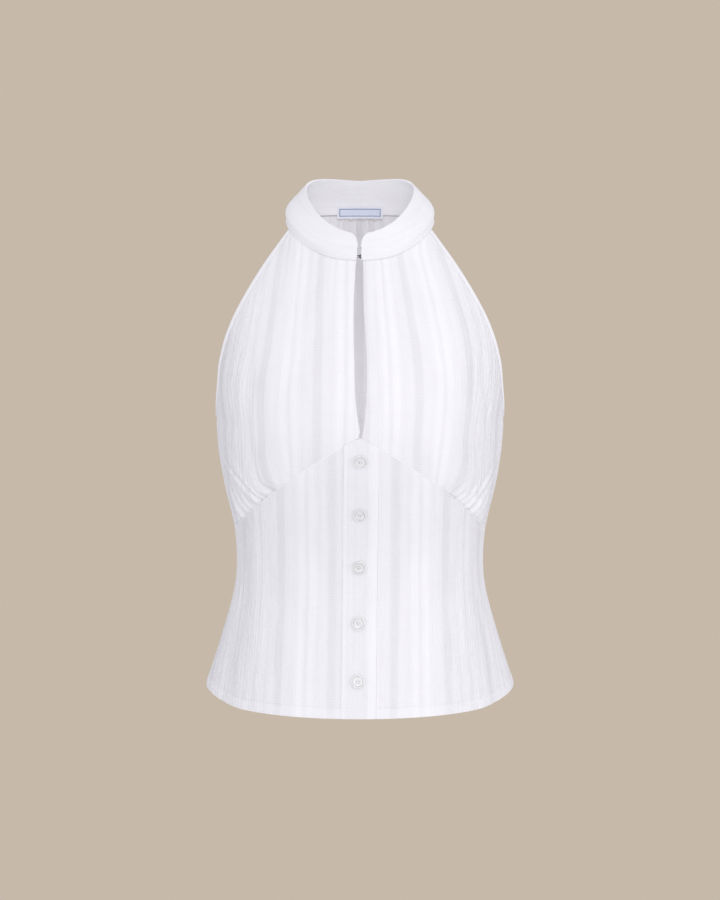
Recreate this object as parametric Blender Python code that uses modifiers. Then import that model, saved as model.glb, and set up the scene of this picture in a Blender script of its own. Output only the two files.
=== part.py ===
# A sleeveless halter top of striped white cotton, hollow and filled out as it is worn.
# It is cut as two upper fronts round an open slit, two lower fronts with a button band,
# an upper and a lower back, a stand collar and a bound edge round each armhole.
# Metres, +Z up, the front faces -Y. The origin is in the neck, level with the collar's seam
# at the nape. Tables and cloth sizes are in millimetres. An angle of 0 is the centre front,
# 90 degrees the wearer's left side seam and 180 degrees the centre back.

import math
from collections import namedtuple
from functools import lru_cache

import bmesh
import bpy
from mathutils import Matrix, Vector

MM = 0.001

# Cloth, seams and trims
CLOTH_WALL = 1.2
COLLAR_WALL = 2.4
BAND_WALL = 1.5
HEM_WALL = 2.2
HEM_HEIGHT = 10.0
SEAM_GAP = 0.35
NECK_GAP = 0.9
LAYER_GAP = 0.4
BINDING_WIDTH = 4.6
BINDING_WALL = 2.0
BINDING_RISE = 0.5
BINDING_CROWN = 0.4

# The body of the top, as loops round it. Each is tilted from its height at the front to its
# height at the back, and square is how far it bulges out between its front and its sides.
Loop = namedtuple("Loop", "front_z back_z half_width front back square")
LOOPS = (
    Loop(-33, 0, 72, 62, 56, 0.000),
    Loop(-66, -44, 112, 77, 84, 0.005),
    Loop(-98, -88, 136.5, 93, 97, 0.010),
    Loop(-134, -130, 143.5, 109, 101, 0.015),
    Loop(-166, -166, 142.5, 118, 100, 0.018),
    Loop(-196, -196, 142, 121, 97, 0.020),
    Loop(-232, -232, 140, 116, 92, 0.020),
    Loop(-270, -270, 135, 105, 86, 0.018),
    Loop(-305, -305, 126.7, 96, 80, 0.015),
    Loop(-335, -335, 123, 92, 78, 0.015),
    Loop(-370, -370, 126.5, 94, 84, 0.015),
    Loop(-420, -420, 140, 104, 98, 0.015),
    Loop(-474, -474, 157.5, 118, 112, 0.015),
)
TILT_START = math.radians(8)
TILT_SPAN = math.radians(95)
HEM_Z = LOOPS[-1].front_z

# The slit between the upper fronts, and the centre line of the button band below it
Slit = namedtuple("Slit", "z centre width")
SLIT = (
    Slit(-33, -0.4, 6.8),
    Slit(-52, -0.9, 8.4),
    Slit(-75, -1.2, 9.8),
    Slit(-124, 0.4, 12.2),
    Slit(-160, 1.0, 10.4),
    Slit(-183, 1.3, 5.0),
    Slit(-196, 1.5, 0.5),
)
BAND_HALF_WIDTH = 17.0
BAND_FOOT_CENTRE = -1.5
LAP_STEP = 8.0
LAP_START = BAND_HALF_WIDTH + LAP_STEP + 1.0
LAP_REACH = 15.0
LAP_SHARE = 0.8

# The pointed seam under the bust: its tip at the centre front and its end at the side
SEAM_TIP_Z = -196.0
SEAM_SIDE_Z = -305.0
SEAM_BEND = 1.15

# The armhole's edge, down the front from the collar, under the arm and up the back
Edge = namedtuple("Edge", "degrees z")
ARMHOLE = (
    Edge(73.5, -8),
    Edge(64.8, -48),
    Edge(63.4, -88),
    Edge(68.6, -128),
    Edge(76.4, -168),
    Edge(90.0, -192),
    Edge(101.5, -175),
    Edge(112.0, -132),
    Edge(122.0, -88),
    Edge(127.0, -44),
    Edge(121.5, -2),
)
ARMHOLE_BLEND = 0.12
EDGE_STEP = 0.004
ARMHOLE_ROWS = 13
SIDE_SHARE = 0.36
PANEL_INSET = BINDING_WIDTH + SEAM_GAP

# The collar's top edge, how far the band bows out over its height and its round front corners
COLLAR_TOP_HALF_WIDTH = 53.5
COLLAR_TOP_FRONT = 57.0
COLLAR_TOP_BACK = 46.0
Height = namedtuple("Height", "degrees z")
COLLAR_TOP = (
    Height(0, -8.0),
    Height(13, -6.5),
    Height(25, -3.0),
    Height(40, 3.5),
    Height(57, 13.0),
    Height(74, 24.0),
    Height(90, 32.5),
    Height(110, 36.5),
    Height(135, 36.0),
    Height(180, 33.5),
)
Bulge = namedtuple("Bulge", "share out")
COLLAR_BULGE = (
    Bulge(0.0, 0.0),
    Bulge(0.2, 0.62),
    Bulge(0.42, 1.0),
    Bulge(0.6, 0.82),
    Bulge(0.8, 0.40),
    Bulge(1.0, 0.0),
)
COLLAR_BOW = 1.2
COLLAR_SIDE_BOW = 8.0
COLLAR_CORNER = 10.0
COLLAR_END_GAP = 4.4
COLLAR_CENTRE = -0.8

# Gathers over the seam under the bust: where each fold starts on the seam, how far it leans
# towards the side at its top, its length, its depth (outwards is positive) and its half width
Fold = namedtuple("Fold", "degrees lean length depth half_width")
FOLDS = (
    Fold(38.0, 17.0, 44, -1.8, 4.6),
    Fold(43.0, 21.0, 50, 1.8, 4.6),
    Fold(48.0, 26.0, 64, -2.6, 4.8),
    Fold(53.0, 24.0, 60, 2.2, 4.8),
    Fold(58.0, 20.0, 54, -2.2, 4.8),
    Fold(63.5, 16.0, 48, 1.8, 5.0),
    Fold(69.0, 12.0, 42, -1.6, 5.0),
    Fold(75.0, 8.0, 34, 1.0, 5.0),
)
FOLD_FOOT = 0.5
FOLD_START = 8.0

# The cloth puffs out a little above the gathers
PUFF_RISE = 1.8
PUFF_HEIGHT = 15.0
PUFF_FROM = math.radians(32)
PUFF_TO = math.radians(82)
PUFF_FADE = math.radians(12)

# Buttons, down the band
BUTTON_COUNT = 5
BUTTON_TOP_Z = -219.0
BUTTON_STEP = 55.0
BUTTON_SHIFT = -1.0
BUTTON_RISE = 0.8
BUTTON_STEPS = 16
BUTTON_PROFILE = (
    (0.0, 1.1), (3.3, 1.1), (4.1, 1.7), (5.1, 2.1), (5.9, 2.0),
    (6.5, 1.3), (6.3, 0.5), (5.2, 0.0), (0.0, 0.0),
)
BUTTON_HOLE_RADIUS = 0.75
BUTTON_HOLE_PLACE = 1.35

# The hook and eye at the foot of the collar's ends, and the neck label
WIRE_RADIUS = 0.35
HOOK_Z = -29.5
EYE_HALF_HEIGHT = 2.1
EYE_FOOT_REACH = 6.5
HOOK_HALF_HEIGHT = 0.8
HOOK_FOOT_REACH = 7.0
LABEL_HALF_WIDTH = 23.5
LABEL_TOP = 7.4
LABEL_FOOT = -4.0
LABEL_WALL = 0.7

WHITE_COTTON = (0.88, 0.88, 0.90, 1.0)
PEARL = (0.80, 0.80, 0.78, 1.0)
STEEL = (0.20, 0.19, 0.19, 1.0)
LABEL_BLUE = (0.62, 0.66, 0.84, 1.0)


def mix(a, b, share):
    return a + (b - a) * share


def smooth(share):
    share = min(1.0, max(0.0, share))
    return share * share * (3 - 2 * share)


def spread(first, last, count):
    # count + 1 values, evenly from first to last
    return [mix(first, last, i / count) for i in range(count + 1)]


def curve_through(knots, values, at):
    # A smooth curve through the values at rising or falling knots, straight on past its ends
    if knots[0] > knots[-1]:
        knots = [-k for k in knots]
        at = -at
    last = len(knots) - 1
    i = 0
    while i < last - 1 and at > knots[i + 1]:
        i += 1
    slopes = []
    for k in (i, i + 1):
        low = max(0, k - 1)
        high = min(last, k + 1)
        slopes.append((values[high] - values[low]) / (knots[high] - knots[low]))
    if at < knots[0]:
        return values[0] + slopes[0] * (at - knots[0])
    if at > knots[last]:
        return values[last] + slopes[1] * (at - knots[last])
    width = knots[i + 1] - knots[i]
    t = (at - knots[i]) / width
    return (
        values[i] * (1 + 2 * t) * (1 - t) ** 2
        + values[i + 1] * t * t * (3 - 2 * t)
        + slopes[0] * width * t * (1 - t) ** 2
        - slopes[1] * width * t * t * (1 - t)
    )


def tilt(angle):
    # 0 at the front of the neck and 1 from just behind its sides
    return smooth((abs(angle) - TILT_START) / TILT_SPAN)


def loop_z(loop, angle):
    return mix(loop.front_z, loop.back_z, tilt(angle))


def loop_point(half_width, front, back, square, angle, z):
    x = half_width * (math.sin(angle) + square * math.sin(3 * angle)) / (1 - square)
    ahead = (math.cos(angle) - square * math.cos(3 * angle)) / (1 - square)
    y = -ahead * (front if ahead > 0 else back)
    return Vector((x, y, z))


def body_point(angle, z):
    heights = [loop_z(loop, angle) for loop in LOOPS]
    sizes = [curve_through(heights, [loop[k] for loop in LOOPS], z) for k in range(2, 6)]
    return loop_point(*sizes, angle, z)


def body_normal(angle, z):
    step = 0.002
    across = body_point(angle + step, z) - body_point(angle - step, z)
    up = body_point(angle, z + 0.5) - body_point(angle, z - 0.5)
    return across.cross(up).normalized()


def on_body(angle, z, rise=0.0):
    return body_point(angle, z) + body_normal(angle, z) * rise


def angle_at(x, z):
    # The angle at which the front of the body has that x
    low, high = -math.pi / 2, math.pi / 2
    for _ in range(40):
        middle = (low + high) / 2
        if body_point(middle, z).x < x:
            low = middle
        else:
            high = middle
    return (low + high) / 2


def neck_seam_z(angle):
    return loop_z(LOOPS[0], angle)


def bust_seam_z(angle):
    return mix(SEAM_TIP_Z, SEAM_SIDE_Z, abs(math.sin(angle)) ** SEAM_BEND)


def slit_value(column, z):
    return curve_through([row.z for row in SLIT], [getattr(row, column) for row in SLIT], z)


def band_centre(z):
    return mix(SLIT[-1].centre, BAND_FOOT_CENTRE, (z - SEAM_TIP_Z) / (HEM_Z - SEAM_TIP_Z))


def side_seam_angle(side, part):
    # part is -1 for the front's edge of the seam and 1 for the back's
    return side * (math.pi / 2 + part * SEAM_GAP / 2 / LOOPS[5].half_width)


def armhole_edge(share):
    last = len(ARMHOLE) - 1
    places = list(range(last + 1))
    degrees = curve_through(places, [e.degrees for e in ARMHOLE], share * last)
    z = curve_through(places, [e.z for e in ARMHOLE], share * last)
    return math.radians(degrees), z


def moved_edge(share, inset):
    # The armhole's edge moved into the cloth by inset
    before, after = (armhole_edge(share + d) for d in (-EDGE_STEP, EDGE_STEP))
    along = body_point(*after) - body_point(*before)
    angle, z = armhole_edge(share)
    inwards = along.cross(body_normal(angle, z)).normalized() * inset
    across = body_point(angle + EDGE_STEP, z) - body_point(angle - EDGE_STEP, z)
    across /= 2 * EDGE_STEP
    up = body_point(angle, z + 0.5) - body_point(angle, z - 0.5)
    aa, uu, au = across.dot(across), up.dot(up), across.dot(up)
    ai, ui = across.dot(inwards), up.dot(inwards)
    angle += (ai * uu - ui * au) / (aa * uu - au * au)
    z += (ui * aa - ai * au) / (aa * uu - au * au)
    return angle, z


def armhole_line(share, inset):
    # The moved edge, with its ends drawn to just under the collar
    angle, z = moved_edge(share, inset)
    end_angle, end_z = moved_edge(0 if share < 0.5 else 1, inset)
    lift = neck_seam_z(end_angle) - NECK_GAP - end_z
    return angle, z + lift * smooth(1 - min(share, 1 - share) / ARMHOLE_BLEND)


@lru_cache(None)
def share_at_side(inset, part):
    # Where the moved armhole edge meets the side seam
    target = side_seam_angle(1, part)
    low, high = 0.3, 0.7
    for _ in range(30):
        middle = (low + high) / 2
        if armhole_line(middle, inset)[0] < target:
            low = middle
        else:
            high = middle
    return (low + high) / 2


def armhole_share(t, part):
    # The share of the armhole's edge at a panel's row t, above the panel's side seam
    under_arm = share_at_side(PANEL_INSET, part)
    return mix(under_arm, 0 if part < 0 else 1, (t - SIDE_SHARE) / (1 - SIDE_SHARE))


def outer_edge(t, part):
    # A panel's edge up the side seam and then round the armhole
    if t < SIDE_SHARE:
        foot = SEAM_SIDE_Z + SEAM_GAP / 2
        top = armhole_line(armhole_share(SIDE_SHARE, part), PANEL_INSET)[1]
        return side_seam_angle(1, part), mix(foot, top, t / SIDE_SHARE)
    return armhole_line(armhole_share(t, part), PANEL_INSET)


def panel_rows(side_rows):
    return side_rows + spread(SIDE_SHARE, 1, ARMHOLE_ROWS)


def coons(bottom, top, low_side, high_side):
    # A patch between four edges of (angle, z): bottom and top run with s, the sides with t
    edges = [lru_cache(None)(edge) for edge in (bottom, top, low_side, high_side)]
    corners = [edges[0](0), edges[0](1), edges[1](0), edges[1](1)]

    def place(s, t):
        b, h, l, r = edges[0](s), edges[1](s), edges[2](t), edges[3](t)
        found = []
        for k in (0, 1):
            flat = mix(mix(corners[0][k], corners[1][k], s), mix(corners[2][k], corners[3][k], s), t)
            found.append(mix(b[k], h[k], t) + mix(l[k], r[k], s) - flat)
        return found

    return place


def material(name, colour, roughness, metallic=0.0):
    made = bpy.data.materials.get(name)
    if made is None:
        made = bpy.data.materials.new(name)
        made.use_nodes = True
        shader = made.node_tree.nodes["Principled BSDF"]
        shader.inputs["Base Color"].default_value = colour
        shader.inputs["Roughness"].default_value = roughness
        shader.inputs["Metallic"].default_value = metallic
    return made


def add_object(name, data, finish, collection):
    data.materials.append(finish)
    made = bpy.data.objects.new(name, data)
    collection.objects.link(made)
    return made


def cloth(name, point, columns, rows, wall, finish, collection, thickness=None):
    # A grid laid on point(s, t), thickened inwards. columns and rows are lists of s and of t.
    grid = bmesh.new()
    bmesh.ops.create_grid(grid, x_segments=len(columns) - 1, y_segments=len(rows) - 1, size=0.5)
    places = {}
    for vertex in grid.verts:
        i = round((vertex.co.x + 0.5) * (len(columns) - 1))
        j = round((vertex.co.y + 0.5) * (len(rows) - 1))
        places[vertex.index] = (columns[i], rows[j])
    for vertex in grid.verts:
        vertex.co = point(*places[vertex.index]) * MM
    mesh = bpy.data.meshes.new(name)
    grid.to_mesh(mesh)
    grid.free()
    mesh.shade_smooth()
    made = add_object(name, mesh, finish, collection)
    solidify = made.modifiers.new("Wall", "SOLIDIFY")
    solidify.thickness = wall * MM
    solidify.offset = -1
    if thickness:
        group = made.vertex_groups.new(name="Wall")
        for index, (s, t) in places.items():
            group.add([index], thickness(s, t) / wall, "REPLACE")
        solidify.vertex_group = group.name
    return made


def gather_rise(angle, z):
    # How far the puff and the folds lift the cloth from the body, above the seam at the bust
    angle = abs(angle)
    above = z - bust_seam_z(angle)
    within = smooth((angle - PUFF_FROM) / PUFF_FADE) * smooth((PUFF_TO - angle) / PUFF_FADE)
    height = above / PUFF_HEIGHT
    rise = PUFF_RISE * within * height * math.exp(1 - height)
    for fold in FOLDS:
        share = above / fold.length
        if share < 1:
            middle = math.radians(fold.degrees + fold.lean * share)
            aside = (angle - middle) * LOOPS[6].half_width
            width = fold.half_width * (1 + share / 2)
            if abs(aside) < width * 1.5:
                bell = math.cos(aside / width * math.pi / 3) ** 2
                start = mix(FOLD_FOOT, 1, smooth(above / FOLD_START))
                rise += fold.depth * bell * start * (1 - smooth(share))
    return rise


def upper_front(side, finish, collection):
    def slit_edge(t):
        z = mix(SEAM_TIP_Z, LOOPS[0].front_z - NECK_GAP, t)
        return abs(angle_at(slit_value("centre", z) + side * slit_value("width", z) / 2, z)), z

    def far_edge(t):
        return outer_edge(t, -1)

    def bottom_edge(s):
        angle = mix(slit_edge(0)[0], far_edge(0)[0], s)
        return angle, bust_seam_z(angle) + SEAM_GAP / 2

    def top_edge(s):
        angle = mix(slit_edge(1)[0], far_edge(1)[0], s)
        return angle, neck_seam_z(angle) - NECK_GAP

    place = coons(bottom_edge, top_edge, slit_edge, far_edge)

    def point(s, t):
        angle, z = place(s if side > 0 else 1 - s, t)
        return on_body(side * angle, z, gather_rise(angle, z))

    plain = spread(0, 0.08, 3) + [0.12, 0.18, 0.25, 0.32]
    columns = plain + spread(0.38, 0.86, 24) + spread(0.86, 1, 3)[1:]
    if side < 0:
        columns = [1 - s for s in reversed(columns)]
    name = "upper_front_left" if side > 0 else "upper_front_right"
    rows = panel_rows([0, 0.035, 0.075, 0.12, 0.17, 0.23, 0.295])
    return cloth(name, point, columns, rows, CLOTH_WALL, finish, collection)


def hem_rows(count):
    # Rows for a panel that ends in a hem, as shares of the panel's height
    height = SEAM_SIDE_Z - HEM_Z
    return [0, (HEM_HEIGHT - 1) / height, HEM_HEIGHT / height, 0.12] + spread(0.12, 1, count)[1:]


def hem_thickness(s, t):
    height = SEAM_SIDE_Z - HEM_Z
    return HEM_WALL if t < (HEM_HEIGHT - 0.5) / height else CLOTH_WALL


def offset_point(offset, t, drop):
    # The angle and height at a sideways offset from the band's centre line, between the hem
    # and a line that is drop under the seam at the bust
    angle = angle_at(band_centre(SEAM_TIP_Z) + offset, SEAM_TIP_Z)
    z = mix(HEM_Z, bust_seam_z(angle) - drop, t)
    return angle_at(band_centre(z) + offset, z), z


def lower_front(side, finish, collection):
    # The left panel ends beside the band, and the right one steps down and laps under it
    inner = BAND_HALF_WIDTH + SEAM_GAP if side > 0 else -LAP_START
    outer = side_seam_angle(side, -1)
    drop = SEAM_GAP / 2

    def point(s, t):
        if s > LAP_SHARE:
            offset = mix(-LAP_START, LAP_REACH, (s - LAP_SHARE) / (1 - LAP_SHARE))
            sunk = smooth((offset + LAP_START) / LAP_STEP)
            return on_body(*offset_point(offset, t, drop), -sunk * (BAND_WALL + LAYER_GAP))
        beside, z = offset_point(inner, t, drop)
        share = s / LAP_SHARE if side < 0 else 1 - s / LAP_SHARE
        angle = mix(outer, beside, share)
        return on_body(angle, mix(z, mix(HEM_Z, bust_seam_z(angle) - drop, t), share < 1))

    columns = spread(0, LAP_SHARE, 12)
    if side < 0:
        lap_length = LAP_START + LAP_REACH
        steps = spread(0, LAP_STEP / lap_length, 4)[1:] + [0.4, 0.6, 0.8, 1]
        columns += [mix(LAP_SHARE, 1, step) for step in steps]
    name = "lower_front_left" if side > 0 else "lower_front_right"
    return cloth(name, point, columns, hem_rows(10), HEM_WALL, finish, collection, hem_thickness)


def button_band(finish, collection):
    def point(s, t):
        offset = mix(-BAND_HALF_WIDTH, BAND_HALF_WIDTH, s)
        return on_body(*offset_point(offset, t, SEAM_GAP / 2))

    columns = spread(0, 1, 6)
    return cloth("button_band", point, columns, hem_rows(10), BAND_WALL, finish, collection)


def upper_back(finish, collection):
    def armhole_side(t):
        # The wearer's left edge, as an angle of under 180 degrees
        return outer_edge(t, 1)

    def far_side(t):
        angle, z = armhole_side(t)
        return 2 * math.pi - angle, z

    def bottom_edge(s):
        return mix(armhole_side(0)[0], far_side(0)[0], s), SEAM_SIDE_Z + SEAM_GAP / 2

    def top_edge(s):
        return mix(armhole_side(1)[0], far_side(1)[0], s), LOOPS[0].back_z - NECK_GAP

    place = coons(bottom_edge, top_edge, armhole_side, far_side)

    def point(s, t):
        angle, z = place(s, t)
        if angle > math.pi:
            angle -= 2 * math.pi
        return on_body(angle, z)

    columns = spread(0, 1, 20)
    rows = panel_rows(spread(0, SIDE_SHARE, 6)[:-1])
    return cloth("upper_back", point, columns, rows, CLOTH_WALL, finish, collection)


def lower_back(finish, collection):
    start = side_seam_angle(1, 1)

    def point(s, t):
        angle = mix(start, 2 * math.pi - start, s)
        if angle > math.pi:
            angle -= 2 * math.pi
        return on_body(angle, mix(HEM_Z, SEAM_SIDE_Z - SEAM_GAP / 2, t))

    columns = spread(0, 1, 24)
    return cloth(
        "lower_back", point, columns, hem_rows(8), HEM_WALL, finish, collection, hem_thickness
    )


def binding(side, finish, collection):
    # The bound edge round an armhole: a narrow band with a low crown
    def point(s, t):
        angle, z = armhole_line(t, BINDING_WIDTH * s)
        rise = BINDING_RISE + BINDING_CROWN * 4 * s * (1 - s)
        return on_body(side * angle, z, rise)

    columns = spread(0, 1, 4)
    if side < 0:
        placed = point
    else:
        def placed(s, t):
            return point(1 - s, t)

    name = "armhole_binding_left" if side > 0 else "armhole_binding_right"
    steps = spread(SIDE_SHARE, 1, ARMHOLE_ROWS)
    rows = sorted(armhole_share(t, part) for part in (-1, 1) for t in steps)
    made = cloth(name, placed, columns, rows, BINDING_WALL, finish, collection)
    made.data.flip_normals()
    return made


def collar_point(angle, height):
    # height is 0 at the seam and 1 at the collar's top edge
    foot = body_point(angle, neck_seam_z(angle))
    turned = math.degrees(abs(angle))
    top_z = curve_through([h.degrees for h in COLLAR_TOP], [h.z for h in COLLAR_TOP], turned)
    sizes = (COLLAR_TOP_HALF_WIDTH, COLLAR_TOP_FRONT, COLLAR_TOP_BACK, 0.0)
    top = loop_point(*sizes, angle, top_z)
    bulge = curve_through([b.share for b in COLLAR_BULGE], [b.out for b in COLLAR_BULGE], height)
    bow = (COLLAR_BOW + COLLAR_SIDE_BOW * math.sin(angle) ** 2) * bulge
    along = Vector((math.cos(angle), math.sin(angle), 0))
    outwards = along.cross(top - foot).normalized()
    return foot.lerp(top, height) + outwards * bow


def collar_end(side):
    return angle_at(COLLAR_CENTRE + side * COLLAR_END_GAP / 2, LOOPS[0].front_z)


def collar(finish, collection):
    # The band runs from its end beside the slit on the wearer's left round to the other end
    first, last = collar_end(1), 2 * math.pi + collar_end(-1)
    radius = LOOPS[0].front

    def top_share(angle):
        near = min(angle - first, last - angle) * radius
        if near >= COLLAR_CORNER:
            return 1.0
        tall = (collar_point(angle, 1) - collar_point(angle, 0)).length
        cut = COLLAR_CORNER - math.sqrt(COLLAR_CORNER**2 - (COLLAR_CORNER - near) ** 2)
        return 1 - cut / tall

    def point(s, t):
        turned = angle = mix(first, last, s)
        if turned > math.pi:
            turned -= 2 * math.pi
        return collar_point(turned, t * top_share(angle))

    corner = COLLAR_CORNER / radius / (last - first)
    ends = [corner * (1 - math.cos(a)) for a in spread(0, math.pi / 2, 6)]
    columns = ends + spread(corner, 1 - corner, 36)[1:-1] + [1 - s for s in reversed(ends)]
    made = cloth("collar", point, columns, spread(0, 1, 5), COLLAR_WALL, finish, collection)
    made.modifiers["Wall"].offset = 0
    return made


def button_mesh(cutters):
    # One turned button with a raised rim and four holes, its back on z = 0
    outline = bpy.data.meshes.new("button_outline")
    points = [(r * MM, 0, z * MM) for r, z in BUTTON_PROFILE]
    outline.from_pydata(points, [(i, i + 1) for i in range(len(points) - 1)], [])
    turned = bpy.data.objects.new("button_outline", outline)
    cutters.objects.link(turned)
    screw = turned.modifiers.new("Turn", "SCREW")
    screw.steps = screw.render_steps = BUTTON_STEPS
    screw.use_merge_vertices = True
    screw.merge_threshold = 0.00002
    drill = bmesh.new()
    for quarter in range(4):
        turn = math.radians(45 + 90 * quarter)
        reach = BUTTON_HOLE_PLACE * MM
        centre = Matrix.Translation((reach * math.cos(turn), reach * math.sin(turn), 0.001))
        bmesh.ops.create_cone(
            drill, cap_ends=True, segments=6, radius1=BUTTON_HOLE_RADIUS * MM,
            radius2=BUTTON_HOLE_RADIUS * MM, depth=0.006, matrix=centre,
        )
    drills = bpy.data.meshes.new("button_drills")
    drill.to_mesh(drills)
    drill.free()
    cutter = bpy.data.objects.new("button_drills", drills)
    cutters.objects.link(cutter)
    cut = turned.modifiers.new("Holes", "BOOLEAN")
    cut.operation = "DIFFERENCE"
    cut.object = cutter
    for helper in (turned, cutter):
        helper.hide_render = True
        helper.display_type = "WIRE"
    graph = bpy.context.evaluated_depsgraph_get()
    mesh = bpy.data.meshes.new_from_object(turned.evaluated_get(graph))
    mesh.name = "button"
    mesh.set_sharp_from_angle(angle=math.radians(40))
    return mesh


def buttons(finish, collection, cutters):
    mesh = button_mesh(cutters)
    mesh.materials.append(finish)
    for number in range(BUTTON_COUNT):
        z = BUTTON_TOP_Z - number * BUTTON_STEP
        angle = angle_at(band_centre(z) + BUTTON_SHIFT, z)
        made = bpy.data.objects.new(f"button_{number + 1}", mesh)
        made.location = on_body(angle, z, BUTTON_RISE) * MM
        made.rotation_mode = "QUATERNION"
        made.rotation_quaternion = body_normal(angle, z).to_track_quat("Z", "Y")
        collection.objects.link(made)


def wire(name, points, finish, collection):
    curve = bpy.data.curves.new(name, "CURVE")
    curve.dimensions = "3D"
    curve.bevel_depth = WIRE_RADIUS * MM
    curve.bevel_resolution = 1
    curve.use_fill_caps = True
    spline = curve.splines.new("POLY")
    spline.points.add(len(points) - 1)
    for target, point in zip(spline.points, points):
        target.co = (*(point * MM), 1)
    return add_object(name, curve, finish, collection)


def hook_and_eye(finish, collection):
    # The eye is a loop sewn behind the collar's left end. The hook is one wire, out and back
    # as two strands, and its tip turns round the eye.
    plane_y = collar_point(0, 0.1).y + COLLAR_WALL / 2 + SEAM_GAP + WIRE_RADIUS
    bar_x = COLLAR_CENTRE + 0.9
    turn = 2 * WIRE_RADIUS + 0.25
    foot_x = COLLAR_CENTRE + EYE_FOOT_REACH
    eye = [Vector((foot_x, plane_y, HOOK_Z + EYE_HALF_HEIGHT))]
    for step in spread(90, 270, 10):
        a = math.radians(step)
        x = bar_x + EYE_HALF_HEIGHT + EYE_HALF_HEIGHT * math.cos(a)
        eye.append(Vector((x, plane_y, HOOK_Z + EYE_HALF_HEIGHT * math.sin(a))))
    eye.append(Vector((foot_x, plane_y, HOOK_Z - EYE_HALF_HEIGHT)))
    wire("collar_eye", eye, finish, collection)
    foot_x = COLLAR_CENTRE - HOOK_FOOT_REACH
    strand = [(foot_x, 0.0), (bar_x - 3.2, 0.0), (bar_x - 1.5, -turn)]
    for step in spread(90, -90, 6):
        a = math.radians(step)
        strand.append((bar_x + turn * math.cos(a), -turn * math.sin(a)))
    strand.append((bar_x - 0.5, turn))
    lower = [Vector((x, plane_y + y, HOOK_Z - HOOK_HALF_HEIGHT)) for x, y in strand]
    upper = [Vector((p.x, p.y, HOOK_Z + HOOK_HALF_HEIGHT)) for p in reversed(lower)]
    wire("collar_hook", lower + upper, finish, collection)


def neck_label(finish, collection):
    # A small woven label inside the back of the neck, over the collar's seam
    inner = COLLAR_WALL / 2 + LAYER_GAP

    def point(s, t):
        x = mix(-LABEL_HALF_WIDTH, LABEL_HALF_WIDTH, 1 - s)
        angle = math.pi - math.asin(x / LOOPS[0].half_width)
        if angle > math.pi:
            angle -= 2 * math.pi
        z = mix(LABEL_FOOT, LABEL_TOP, t)
        foot = collar_point(angle, 0)
        y = collar_point(angle, max(z, 0) / COLLAR_TOP[-1].z).y
        inwards = Vector((-foot.x, -foot.y, 0)).normalized() * inner
        return Vector((x, y, z)) + inwards

    columns = spread(0, 1, 10)
    return cloth("neck_label", point, columns, spread(0, 1, 4), LABEL_WALL, finish, collection)


def main():
    for old in list(bpy.data.objects):
        bpy.data.objects.remove(old)
    collection = bpy.data.collections.new("halter_top")
    cutters = bpy.data.collections.new("cutters")
    bpy.context.scene.collection.children.link(collection)
    bpy.context.scene.collection.children.link(cutters)
    cotton = material("striped_cotton", WHITE_COTTON, 0.85)
    pearl = material("pearl_button", PEARL, 0.3)
    steel = material("hook_steel", STEEL, 0.35, 1.0)
    woven = material("label_weave", LABEL_BLUE, 0.8)
    collar(cotton, collection)
    for side in (1, -1):
        upper_front(side, cotton, collection)
        lower_front(side, cotton, collection)
        binding(side, cotton, collection)
    button_band(cotton, collection)
    upper_back(cotton, collection)
    lower_back(cotton, collection)
    buttons(pearl, collection, cutters)
    hook_and_eye(steel, collection)
    neck_label(woven, collection)


main()
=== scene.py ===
import math

import bpy
import numpy as np
from mathutils import Matrix, Vector


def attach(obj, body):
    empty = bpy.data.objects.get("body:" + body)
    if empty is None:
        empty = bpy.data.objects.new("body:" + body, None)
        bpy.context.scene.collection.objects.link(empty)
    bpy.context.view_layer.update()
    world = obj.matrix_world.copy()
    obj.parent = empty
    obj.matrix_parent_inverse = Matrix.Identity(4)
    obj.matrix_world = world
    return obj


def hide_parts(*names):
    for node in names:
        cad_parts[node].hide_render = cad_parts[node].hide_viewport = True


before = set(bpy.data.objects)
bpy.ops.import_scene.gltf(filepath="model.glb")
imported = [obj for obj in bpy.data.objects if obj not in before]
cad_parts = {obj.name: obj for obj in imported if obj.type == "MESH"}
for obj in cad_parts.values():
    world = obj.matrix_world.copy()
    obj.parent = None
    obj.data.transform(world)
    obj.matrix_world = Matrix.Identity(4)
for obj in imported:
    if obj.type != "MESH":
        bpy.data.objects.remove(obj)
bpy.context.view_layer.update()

# A sleeveless halter top in striped white cotton, filled out as it is worn.
# Tables are in millimetres. An angle of 0 is the centre front, 90 degrees the wearer's left
# side and 180 degrees the centre back. "arc" is the distance along the cloth from the centre.

mm = 0.001
bpy.ops.object.select_all(action="DESELECT")

# the form that all the cloth lies on

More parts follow.
